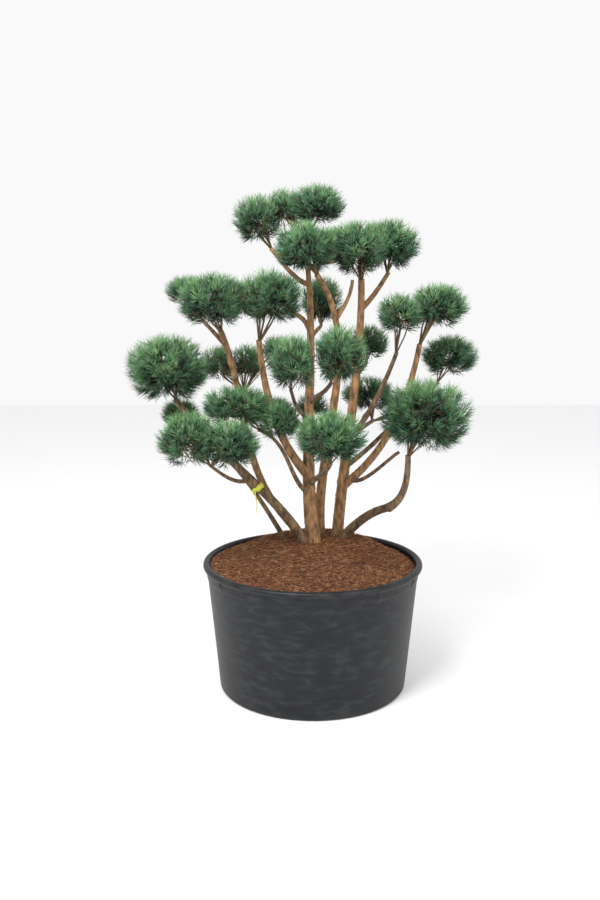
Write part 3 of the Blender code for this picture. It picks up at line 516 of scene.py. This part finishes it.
# %% The pads: the bough under each, and each lobe's middle and size
MASSES = {
    "mass_top_left": ("bough_top_left", [
        ((-0.208, 0.150, 1.805), (0.220, 0.240, 0.200))]),
    "mass_top": ("stem_front", [
        ((0.016, 0.155, 1.860), (0.240, 0.255, 0.172)),
        ((-0.108, 0.205, 1.845), (0.185, 0.210, 0.180))]),
    "mass_upper_front": ("stem_back", [
        ((-0.027, -0.030, 1.694), (0.262, 0.240, 0.210))]),
    "mass_upper_front_right": ("stem_right", [
        ((0.162, 0.040, 1.690), (0.240, 0.240, 0.222))]),
    "mass_upper_right": ("bough_upper_right", [
        ((0.305, 0.250, 1.715), (0.270, 0.250, 0.220))]),
    "mass_left_upper_outer": ("bough_left_back", [
        ((-0.366, -0.050, 1.503), (0.292, 0.290, 0.212))]),
    "mass_left_upper_inner": ("bough_left_front", [
        ((-0.155, -0.050, 1.517), (0.268, 0.270, 0.220))]),
    "mass_left_upper_back": ("bough_upper_left_back", [
        ((-0.495, 0.260, 1.538), (0.200, 0.220, 0.136))]),
    "mass_far_left": ("stem_left", [
        ((-0.549, 0.000, 1.250), (0.338, 0.320, 0.263))]),
    "mass_back_left": ("bough_back_left", [
        ((-0.380, 0.300, 1.240), (0.170, 0.200, 0.172)),
        ((-0.262, 0.320, 1.245), (0.160, 0.200, 0.165)),
        ((-0.140, 0.360, 1.295), (0.170, 0.190, 0.135))]),
    "mass_center_left": ("bough_center_left", [
        ((-0.072, -0.250, 1.290), (0.220, 0.240, 0.212))]),
    "mass_center_right": ("bough_center_right", [
        ((0.082, -0.250, 1.317), (0.235, 0.250, 0.222))]),
    "mass_mid_left": ("bough_mid_left", [
        ((-0.280, -0.090, 1.118), (0.290, 0.250, 0.168)),
        ((-0.125, -0.110, 1.065), (0.190, 0.210, 0.170))]),
    "mass_lower_left": ("bough_lower_left", [
        ((-0.452, -0.215, 1.015), (0.245, 0.255, 0.218)),
        ((-0.302, -0.215, 1.000), (0.240, 0.245, 0.205))]),
    "mass_lower_left_back": ("stem_left_thin", [
        ((-0.525, 0.190, 1.055), (0.180, 0.190, 0.128))]),
    "mass_center_low": ("bough_center_low", [
        ((0.057, -0.300, 1.034), (0.270, 0.270, 0.205))]),
    "mass_right_upper_inner": ("bough_right_inner", [
        ((0.330, 0.010, 1.450), (0.205, 0.220, 0.172))]),
    "mass_right_upper_outer": ("bough_right_main", [
        ((0.481, 0.090, 1.479), (0.252, 0.260, 0.189))]),
    "mass_right_small": ("bough_right_small", [
        ((0.549, 0.225, 1.279), (0.252, 0.240, 0.184))]),
    "mass_right_low": ("bough_right_rise", [
        ((0.413, -0.110, 1.086), (0.372, 0.330, 0.282))]),
    "mass_back_top": ("bough_back_top", [
        ((0.042, 0.360, 1.497), (0.195, 0.220, 0.212))]),
    "mass_back_right": ("bough_back_right", [
        ((0.234, 0.345, 1.325), (0.195, 0.220, 0.163))]),
    "mass_back_right_low": ("bough_back_right_low", [
        ((0.238, 0.380, 1.110), (0.245, 0.240, 0.163)),
        ((0.400, 0.350, 1.045), (0.210, 0.220, 0.150))]),
    "mass_back_low": ("bough_back_low", [
        ((0.004, 0.370, 1.062), (0.165, 0.200, 0.118)),
        ((-0.165, 0.425, 1.035), (0.210, 0.210, 0.130))]),
    "mass_rear_high": ("bough_rear_high", [
        ((0.115, 0.445, 1.722), (0.255, 0.250, 0.165))]),
    "mass_rear_left": ("bough_rear_left", [
        ((-0.300, 0.430, 1.500), (0.270, 0.250, 0.178))]),
}
print("stems, boughs, pads:", len(STEMS), len(BOUGHS), len(MASSES))

# %% Centre lines
STEM_BURIED = 0.03
FINE_STEPS = 200
LIMB_STEP = 0.006
FEWEST_RINGS = 12
COLLAR_FADE = 0.045
STEM_COLLAR = 0.12
BOUGH_COLLAR = 0.30


def smooth_route(places):
    """The cubic through four places. Each place's weight is the product, over the other knots, of
    (t - knot) / (own knot - knot), with the knots shared out by the distances between places."""
    places = np.array(places, dtype=float)
    steps = np.linalg.norm(np.diff(places, axis=0), axis=1)
    knots = np.concatenate([[0.0], np.cumsum(steps)]) / steps.sum()
    t = np.linspace(0.0, 1.0, FINE_STEPS)[:, None]
    others = [np.delete(knots, i) for i in range(4)]
    weights = [np.prod((t - others[i]) / (knots[i] - others[i]), axis=1) for i in range(4)]
    return np.stack(weights, axis=1) @ places


class Limb:
    """A centre line in equal short steps, with its radius and its distance from the root."""

    def __init__(self, places, root_radius, tip_radius, collar):
        """The radius is a straight taper, times one plus a collar that fades with the distance."""
        fine = smooth_route(places)
        steps = np.linalg.norm(np.diff(fine, axis=0), axis=1)
        lengths = np.concatenate([[0.0], np.cumsum(steps)])
        rings = max(FEWEST_RINGS, round(lengths[-1] / LIMB_STEP))
        self.run = np.linspace(0.0, lengths[-1], rings)
        self.points = np.stack([np.interp(self.run, lengths, fine[:, k]) for k in range(3)], axis=1)
        taper = root_radius + (tip_radius - root_radius) * self.run / lengths[-1]
        self.radii = taper * (1.0 + collar * np.exp(-self.run / COLLAR_FADE))
        self.heading = unit(self.points[-1] - self.points[-2])

    def at_height(self, height):
        """The place where the centre line passes a height."""
        rising = self.points[np.argsort(self.points[:, 2])]
        return np.array([np.interp(height, rising[:, 2], rising[:, k]) for k in range(3)])


limbs = {}
for name, (foot, low, high, tip, *radii) in STEMS.items():
    foot = np.array([*foot, MULCH_TOP])
    start = foot - STEM_BURIED * unit(np.array(low) - foot)
    limbs[name] = Limb([start, low, high, tip], *radii, STEM_COLLAR)
for name, (parent, height, low, high, tip, *radii) in BOUGHS.items():
    start = limbs[parent].at_height(height)
    limbs[name] = Limb([start, low, high, tip], *radii, BOUGH_COLLAR)
print("limbs:", len(limbs))

# %% [markdown]
# Pine bark flakes in small plates, and old cuts leave knots. A bump pattern alone looks smooth at
# the outline, so the relief is in the mesh: the radius gets ridges, plates and a few swellings.

# %% Bark with relief
BARK_SIDES = 22
BARK_SEED = 40
ANY_PHASE = (0.0, 6.3)
RIDGE_COUNTS = (2, 3, 5)
RIDGE_DEPTH = 0.022
RIDGE_TWIST = (4.0, 12.0)
PLATE_DEPTH = 0.030
FLAKES_PER_METRE, FLAKES_ROUND, FLAKE_TWIST = 260.0, 7.0, 30.0
SKEW, SKEWS_ROUND, SKEW_TWIST = 4.0, 3.0, 20.0
GRAIN_DEPTH = 0.014
KNOT_SPACING = 0.16
KNOT_START = 0.06
KNOT_SWELLING = (0.12, 0.34)
KNOT_LENGTH = 0.010
KNOT_SPREAD = 0.6
ORANGE_FROM = 1.3


def bark_relief(limb, turn, rng):
    """One, plus twisted sine ridges, plus plates where a fast sine along the limb crosses a sine
    round it, plus a random grain, plus a bell for each knot."""
    run = limb.run[:, None]
    ridges = sum(RIDGE_DEPTH * np.sin(k * turn + rng.uniform(*ANY_PHASE)
                                      + run * rng.uniform(*RIDGE_TWIST)) for k in RIDGE_COUNTS)
    skew = SKEW * np.sin(SKEWS_ROUND * turn + run * SKEW_TWIST)
    flakes = np.sin(run * FLAKES_PER_METRE + skew)
    plates = PLATE_DEPTH * flakes * np.sin(FLAKES_ROUND * turn + run * FLAKE_TWIST)
    grain = GRAIN_DEPTH * rng.uniform(-1.0, 1.0, (len(run), BARK_SIDES))
    relief = 1.0 + ridges + plates + grain
    for _ in range(max(1, int(limb.run[-1] / KNOT_SPACING))):
        place, facing = rng.uniform(KNOT_START, limb.run[-1]), rng.uniform(0.0, FULL_TURN)
        gap = (turn - facing + math.pi) % FULL_TURN - math.pi
        bell = np.exp(-((run - place) / KNOT_LENGTH) ** 2 - (gap / KNOT_SPREAD) ** 2)
        relief = relief + rng.uniform(*KNOT_SWELLING) * bell
    return relief


def bark_tube(limb, seed):
    """Rings square to the line: its points, plus radius times relief times a unit circle."""
    turn = even_turns(BARK_SIDES)
    side, other = across(unit(np.gradient(limb.points, axis=0))[:, None])
    radius = limb.radii[:, None] * bark_relief(limb, turn[None], np.random.default_rng(seed))
    rings = limb.points[:, None] + radius[..., None] * around(turn, side, other)
    return tube_points(rings), skin(len(rings), BARK_SIDES)


for number, (name, limb) in enumerate(limbs.items()):
    finish = upper_bark if limb.points[-1, 2] > ORANGE_FROM else bark
    add_piece(name + "_bark", *bark_tube(limb, BARK_SEED + number), [finish], "bark", [name])

# %% [markdown]
# A clipped pad is many shoots that end at one smooth surface. It could be modelled as a bumpy ball,
# but a ball has no depth and no loose edge. So the surface is only a formula, a dome over a
# tapering bowl: how far out a place lies, as a share of the way to it, says where shoots end.

# %% The pads' shape
WIDEST_SHARE = 0.42
DOME_FULLNESS = 2.4
UNDER_FULLNESS = 1.5
UNDER_TAPER = 0.72


def local_reach(local):
    """1 on the surface. Above: (flat^p + height^p)^(1/p), flat being the distance from the axis.
    Below: the same with a smaller p and a lessened height, or the height alone if that is more."""
    flat, height = np.hypot(local[..., 0], local[..., 1]), np.abs(local[..., 2])
    dome = (flat**DOME_FULLNESS + height**DOME_FULLNESS) ** (1.0 / DOME_FULLNESS)
    bowl = flat**UNDER_FULLNESS + (UNDER_TAPER * height) ** UNDER_FULLNESS
    bowl = bowl ** (1.0 / UNDER_FULLNESS)
    return np.where(local[..., 2] > 0.0, dome, np.maximum(bowl, height))


def heart_drop(size):
    """How far the heart, at the widest level, lies below the middle of the lobe's box."""
    return (0.0, 0.0, (0.5 - WIDEST_SHARE) * size[2])


def half_share(height):
    """The dome's or the bowl's height, as a share of half the lobe's height."""
    return np.where(height > 0.0, 2.0 * (1.0 - WIDEST_SHARE), 2.0 * WIDEST_SHARE)


def lobe_reach(lobe, places):
    """How far out places are in a lobe: their offsets from its heart in half sizes, then reach."""
    centre, size = (np.array(part) for part in lobe)
    local = (places - centre + heart_drop(size)) / (size / 2.0)
    local[..., 2] /= half_share(local[..., 2])
    return local_reach(local)


def on_lobe(lobe, directions, share):
    """The place at a share of the way from the lobe's heart to its surface."""
    centre, size = (np.array(part) for part in lobe)
    local = directions * (share / local_reach(directions))[..., None]
    local[..., 2] *= half_share(local[..., 2])
    return centre - heart_drop(size) + local * size / 2.0


print("reach straight above a pad's heart:", local_reach(np.array([0.0, 0.0, 1.0])))

# %% [markdown]
# A pine's needles stand on shoots, so a pad begins with shoots that run out to its surface. They
# could be scattered at random, but that leaves clumps and gaps. Turning each direction by the
# golden angle from the last spreads them evenly.

# %% Shoots spread through a lobe
SHOOTS_PER_M2 = 450.0
LOWEST_SHOOT = -0.93
END_SHARES = (0.72, 0.93)
SHOOT_SHARES = (0.24, 0.38)
SHOOT_DROP = 0.010
INNER_SHARE = 0.30
INNER_DEPTH = 0.32
GOLDEN_TURN = math.pi * (3.0 - math.sqrt(5.0))
TURN_JITTER = 0.25


def spread_directions(count, lowest, rng):
    """Even directions from straight up down to the lowest sine, each turned by the golden angle."""
    height = 1.0 + (lowest - 1.0) * (np.arange(count) + 0.5) / count
    jitter = rng.uniform(-TURN_JITTER, TURN_JITTER, count)
    turn = np.arange(count) * GOLDEN_TURN + jitter + rng.uniform(*ANY_PHASE)
    flat = np.sqrt(1.0 - height**2)
    return np.stack([flat * np.cos(turn), flat * np.sin(turn), height], -1)


def grow_shoots(lobe, rng):
    """A shoot ends at a random share of the way to the surface, less a depth for the inner ones,
    and starts a random share before that. Their number goes by wd + wh + dh of the lobe."""
    w, d, h = lobe[1]
    count = round(SHOOTS_PER_M2 * (w * d + w * h + d * h))
    out = spread_directions(count, LOWEST_SHOOT, rng)
    end_share = rng.uniform(*END_SHARES, count)
    end_share = end_share - INNER_DEPTH * (rng.uniform(0.0, 1.0, count) < INNER_SHARE)
    ends = on_lobe(lobe, out, end_share)
    starts = on_lobe(lobe, out, end_share - rng.uniform(*SHOOT_SHARES, count))
    starts[:, 2] -= SHOOT_DROP
    return out[:, 2], starts, ends


# %% [markdown]
# The needles of one pad don't grow into the next pad or into wood. A boolean cut would leave blunt
# stumps, so a needle that would enter another pad or touch a limb is left out. That also keeps the
# sky between the pads.

# %% Where needles may be
LIMB_CLEARANCE = 0.003
NEARBY = 0.05
CLAIM_MARGIN = 0.01


def clear_of_limbs(places):
    """True where a place is farther from every limb's line than its radius and a clearance."""
    clear = np.ones(len(places), dtype=bool)
    middle = places.mean(0)
    reach = np.linalg.norm(places - middle, axis=1).max()
    for limb in limbs.values():
        near = np.linalg.norm(limb.points - middle, axis=1) < reach + NEARBY
        for point, radius in zip(limb.points[near][::2], limb.radii[near][::2]):
            clear &= np.linalg.norm(places - point, axis=1) > radius + LIMB_CLEARANCE
    return clear


def in_own_space(mass_name, places, reach):
    """True where the nearest lobe of another pad is farther off, by reach and a margin."""
    foreign = [lobe for name, (_, lobes) in MASSES.items() if name != mass_name for lobe in lobes]
    claims = np.min([lobe_reach(lobe, places) for lobe in foreign], axis=0)
    return claims > reach + CLAIM_MARGIN


# %% [markdown]
# Pine needles stand round a shoot like a brush. Hair would not be exported, so each needle is a
# real mesh of six faces. The greens are painted light and shade: pale on top and outside, dark
# below and inside.

# %% Needles along the shoots
NEEDLES_PER_SHOOT = 66
NEEDLE_LENGTH = 0.052
LENGTH_SHARES = (0.78, 1.15)
NEEDLE_RADIUS = 0.0011
NEEDLE_BEND = 0.0018
INNER_RADIUS = 0.0019
INNER_REACH = 0.8
TIPWARD_POWER = 0.8
LEAN_DEGREES = (16.0, 62.0)
LEAN_AT_ROOT = 1.15
LEAN_LOSS = 0.55
UPWARD = 0.10
TIP_REACHES = (0.98, 1.06)
MIDDLE_LIGHT = 2.2
LIGHT_BY_RISE = 1.5
LIGHT_BY_REACH = 6.4
MIDDLE_REACH = 0.92
LIGHT_SPREAD = 0.55


def grow_needles(mass_name, lobe, rise, starts, ends, rng):
    """A needle aims along its shoot by the cosine of its lean, and round it by the sine. Its green
    is painted light and shade: a level, plus shares of the shoot's rise and the tip's reach, plus
    chance."""
    along = unit(ends - starts)
    owner = np.repeat(np.arange(len(starts)), NEEDLES_PER_SHOOT)
    total = len(owner)
    place = rng.uniform(0.0, 1.0, total) ** TIPWARD_POWER
    roots = starts[owner] + place[:, None] * (ends - starts)[owner]
    side, other = across(along)
    turn = rng.uniform(0.0, FULL_TURN, total)
    lean = np.radians(rng.uniform(*LEAN_DEGREES, total) * (LEAN_AT_ROOT - LEAN_LOSS * place))
    circle = around(turn, side[owner], other[owner])
    aim = np.cos(lean)[:, None] * along[owner] + np.sin(lean)[:, None] * circle
    aim[:, 2] += UPWARD
    length = NEEDLE_LENGTH * rng.uniform(*LENGTH_SHARES, total)
    tips = roots + length[:, None] * unit(aim)
    reach = lobe_reach(lobe, tips)
    keep = (reach < rng.uniform(*TIP_REACHES, total)) & in_own_space(mass_name, tips, reach)
    keep &= clear_of_limbs(tips) & clear_of_limbs(roots)
    # Painted light and shade: lighter greens on rising shoots and near the pad's outside, darker
    # low down and deep inside, plus a random tone per shoot.
    light = MIDDLE_LIGHT + LIGHT_BY_RISE * rise[owner] + LIGHT_BY_REACH * (reach - MIDDLE_REACH)
    light = light + rng.normal(0.0, LIGHT_SPREAD, len(starts))[owner]
    shade = np.clip(np.round(light), 0, len(painted_needle_shades) - 1).astype(int)
    bend = rng.normal(0.0, NEEDLE_BEND, roots.shape)
    radius = np.where(reach < INNER_REACH, INNER_RADIUS, NEEDLE_RADIUS)
    return roots[keep], tips[keep], bend[keep], shade[keep], radius[keep]


# %% [markdown]
# From each bough's tip a few branches fork to the pad's heart, and branchlets run on to the shoots.
# They could be smooth limbs too, but they are thin and half hidden, so straight rods with a knee
# are enough.

# %% Branches and branchlets
BRANCHES_PER_LOBE = 7
LOWEST_BRANCH = -0.55
HEAD_SHARE = 0.34
FORK_GAP = 0.008
FORK_SINK = 0.01
KNEE_JITTER = 0.006
BRANCH_SHARE = 0.42
BRANCH_TAPER = 0.75
BRANCH_END = 0.0024
BRANCHLET_RADII = (0.0022, 0.0016)
SHOOT_RADII = (0.0016, 0.0009)


def grow_twigs(limb, lobe, starts, ends, rng):
    """Rods from the bough's tip to the knees, on to the heads, from the nearest head to each shoot,
    and along it. A knee is half-way to its head, plus a small random shift."""
    share = np.full(BRANCHES_PER_LOBE, HEAD_SHARE)
    heads = on_lobe(lobe, spread_directions(BRANCHES_PER_LOBE, LOWEST_BRANCH, rng), share)
    fork = limb.points[-1] + FORK_GAP * limb.heading
    knees = fork + 0.5 * (heads - fork) + rng.normal(0.0, KNEE_JITTER, heads.shape)
    roots = np.repeat((limb.points[-1] - FORK_SINK * limb.heading)[None], BRANCHES_PER_LOBE, 0)
    nearest = np.argmin(np.linalg.norm(starts[:, None] - heads[None], axis=2), axis=1)
    rod_starts = (roots, knees, heads[nearest], starts)
    rod_ends = (knees, heads, starts, ends)
    thick = BRANCH_SHARE * limb.radii[-1]
    knee = BRANCH_TAPER * thick
    radii = ((thick, knee), (knee, BRANCH_END), BRANCHLET_RADII, SHOOT_RADII)
    radii = np.repeat(radii, [len(part) for part in rod_starts], axis=0)
    return np.concatenate(rod_starts), np.concatenate(rod_ends), radii


# %% [markdown]
# A pad has thousands of needles and twigs. They could stay apart, but a few large meshes are easier
# to handle, so each pad becomes one mesh of needles and one of twigs.

# %% Pads of needles and twigs
PAD_SEED = 300


def grow_mass(name, seed):
    """All needles and all twigs of one pad, each kind joined into one piece."""
    rng = np.random.default_rng(seed)
    bough, lobes = MASSES[name]
    needles, twigs = [], []
    for lobe in lobes:
        rise, starts, ends = grow_shoots(lobe, rng)
        needles.append(grow_needles(name, lobe, rise, starts, ends, rng))
        twigs.append(grow_twigs(limbs[bough], lobe, starts, ends, rng))
    roots, tips, bend, shade, radius = (np.concatenate(part) for part in zip(*needles))
    points, triangles = spindles(roots, tips, bend, radius)
    # The needles carry painted light and shade, one green per needle.
    add_piece(name + "_needles", points, triangles, painted_needle_shades, "needles", [name],
              np.repeat(shade, len(SPINDLE)), smooth=False)
    starts, ends, radii = (np.concatenate(part) for part in zip(*twigs))
    points, triangles = rods(starts, ends, radii[:, 0], radii[:, 1])
    add_piece(name + "_twigs", points, triangles, [twig_bark], "bark", [])


for number, name in enumerate(MASSES):
    grow_mass(name, PAD_SEED + number)

# %% [markdown]
# A yellow-green plastic ribbon is knotted round the left limb. A cloth simulation could wind it,
# but it is too small to show folds, so it is a thin band that follows the bark, a lumpy knot below
# it, and one narrow tail.

# %% The tie
TIE_SHARE = 0.425
TIE_FIT = 1.10
TIE_TURNS = 48
RIBBON = 0.0012
RIBBON_BULGE = 0.0006
RIBBON_WAVE = 0.0012
RIBBON_WAVES = 5.0
INNER_EDGE, OUTER_EDGE = 0.010, 0.011
BALL_DROP = 0.004
BALL_RADIUS = 0.0085
BALL_LUMPS = 0.16
LUMPS_ROUND, LUMPS_DOWN = 3.0, 4.0
BALL_POLE = 0.15
BALL_ROWS = 14
TAIL_ROWS, TAIL_TURNS = 24, 12
TAIL_WIDTH = 0.0026
TAIL_LOSS = 0.6
TAIL_FLATNESS = 0.35
TAIL_SWAY, TAIL_BEND, TAIL_FORWARD, TAIL_DROP = 0.010, 2.4, 0.004, 0.088


def tie_band(middle, along, inner, outer):
    """Five loops round the limb, shifted along it: middle, plus shift, plus a slight wave, plus
    radius times a unit circle. The last loop joins the first."""
    turn = even_turns(TIE_TURNS)
    circle = around(turn, *across(along))
    wave = RIBBON_WAVE * np.sin(RIBBON_WAVES * turn)[:, None] * along
    loops = ((INNER_EDGE, inner), (OUTER_EDGE, outer), (0.0, outer + RIBBON_BULGE),
             (-OUTER_EDGE, outer), (-INNER_EDGE, inner))
    rows = np.stack([middle + shift * along + wave + radius * circle for shift, radius in loops])
    row, column = np.meshgrid(np.arange(len(loops)), np.arange(TIE_TURNS), indexing="ij")
    below, after = (row + 1) % len(loops), (column + 1) % TIE_TURNS
    a, b = row * TIE_TURNS + column, row * TIE_TURNS + after
    c, d = below * TIE_TURNS + after, below * TIE_TURNS + column
    halves = [np.stack(corners, -1).reshape(-1, 3) for corners in ((a, c, b), (a, d, c))]
    return rows.reshape(-1, 3), np.concatenate(halves)


def tie_knot(centre):
    """A ball, by the sines and cosines of tilt and turn, its radius times one plus sine lumps."""
    turn = even_turns(TIE_TURNS)
    tilt = np.linspace(BALL_POLE, math.pi - BALL_POLE, BALL_ROWS)[:, None]
    ball = BALL_RADIUS * (1.0 + BALL_LUMPS * np.sin(LUMPS_ROUND * turn + LUMPS_DOWN * tilt))
    x, y = ball * np.sin(tilt) * np.cos(turn), ball * np.sin(tilt) * np.sin(turn)
    rings = np.stack([x, y, ball * np.cos(tilt)], -1) + centre
    return tube_points(rings), skin(BALL_ROWS, TIE_TURNS)


def tie_tail(top):
    """Flat ovals down a line that bends by a sine, their width less by a share of the drop."""
    drop = np.linspace(0.0, 1.0, TAIL_ROWS)[:, None]
    turn = even_turns(TAIL_TURNS)
    sway = TAIL_SWAY * np.sin(TAIL_BEND * drop)
    line = top + np.concatenate([sway, -TAIL_FORWARD * drop, -TAIL_DROP * drop], 1)
    wide = TAIL_WIDTH * (1.0 - TAIL_LOSS * drop)
    x, y = wide * np.cos(turn), TAIL_FLATNESS * wide * np.sin(turn)
    ovals = np.stack([x, y, np.zeros((TAIL_ROWS, TAIL_TURNS))], -1)
    return tube_points(line[:, None] + ovals), skin(TAIL_ROWS, TAIL_TURNS)


def make_tie():
    """Band, knot and tail as one mesh: a part's corner numbers go up by the corners before it."""
    limb = limbs["stem_left"]
    at = round(TIE_SHARE * (len(limb.points) - 1))
    middle, along = limb.points[at], unit(limb.points[at + 1] - limb.points[at])
    inner = TIE_FIT * limb.radii[at]
    outer = inner + RIBBON
    rising = unit(np.cross(np.cross(along, (0.0, 0.0, 1.0)), along))
    under = middle - (outer + BALL_DROP) * rising
    parts = [tie_band(middle, along, inner, outer), tie_knot(under), tie_tail(under)]
    first = np.cumsum([0] + [len(points) for points, _ in parts])
    return (np.concatenate([points for points, _ in parts]),
            np.concatenate([triangles + start for (_, triangles), start in zip(parts, first)]))


add_piece("tie_ribbon", *make_tie(), [tie_plastic], "tie", ["tie"])

# %% [markdown]
# The photograph has a blank white ground and soft light from above. A studio could be built with a
# curved backdrop, but a pale floor, a bright even sky and two broad lamps are enough for it, and
# the camera stands where the curves of the pot's rim and base say.

# %% Floor and light
FLOOR_HALF = 9
SKY_STRENGTH = 0.95

floor_mesh = bpy.data.meshes.new("floor")
floor_corners = [(x * FLOOR_HALF, y * FLOOR_HALF, 0)
                 for x, y in ((-1, -1), (1, -1), (1, 1), (-1, 1))]
floor_mesh.from_pydata(floor_corners, [], [(0, 1, 2, 3)])
floor_mesh.materials.append(plain("pale_floor", (0.90, 0.90, 0.90), 0.9))
floor = bpy.data.objects.new("floor", floor_mesh)
bpy.context.scene.collection.objects.link(floor)

world = bpy.data.worlds.new("studio")
bpy.context.scene.world = world
world.use_nodes = True
sky = world.node_tree.nodes["Background"]
sky.inputs["Color"].default_value = (1.0, 1.0, 1.0, 1.0)
sky.inputs["Strength"].default_value = SKY_STRENGTH
bpy.context.scene.view_settings.view_transform = "Standard"


def add_lamp(name, place, aim, size, power):
    """A broad square lamp that looks from its place to its aim."""
    lamp = bpy.data.lights.new(name, "AREA")
    lamp.size, lamp.energy = size, power
    holder = bpy.data.objects.new(name, lamp)
    holder.location = place
    forward = Vector(aim) - Vector(place)
    holder.rotation_euler = forward.to_track_quat("-Z", "Y").to_euler()
    bpy.context.scene.collection.objects.link(holder)


add_lamp("key_lamp", (-1.6, -2.6, 4.2), (0.0, 0.0, 1.2), 1.8, 185.0)
add_lamp("fill_lamp", (2.8, -2.2, 2.4), (0.0, 0.0, 1.0), 2.2, 45.0)

# %% Camera
PICTURE_HEIGHT = 900.0
FOCAL_PIXELS = 929.3
SENSOR = 36.0
CAMERA_PLACE = (-0.071, -3.5, 1.536)
CAMERA_DOWN = 9.78
CAMERA_TURN = -0.356

camera = bpy.data.cameras.new("camera")
camera.lens = FOCAL_PIXELS / PICTURE_HEIGHT * SENSOR
view = bpy.data.objects.new("camera", camera)
view.location = CAMERA_PLACE
view.rotation_euler = (math.radians(90.0 - CAMERA_DOWN), 0.0, math.radians(CAMERA_TURN))
bpy.context.scene.collection.objects.link(view)
bpy.context.scene.camera = view
print("lens:", round(camera.lens, 2), "mm")
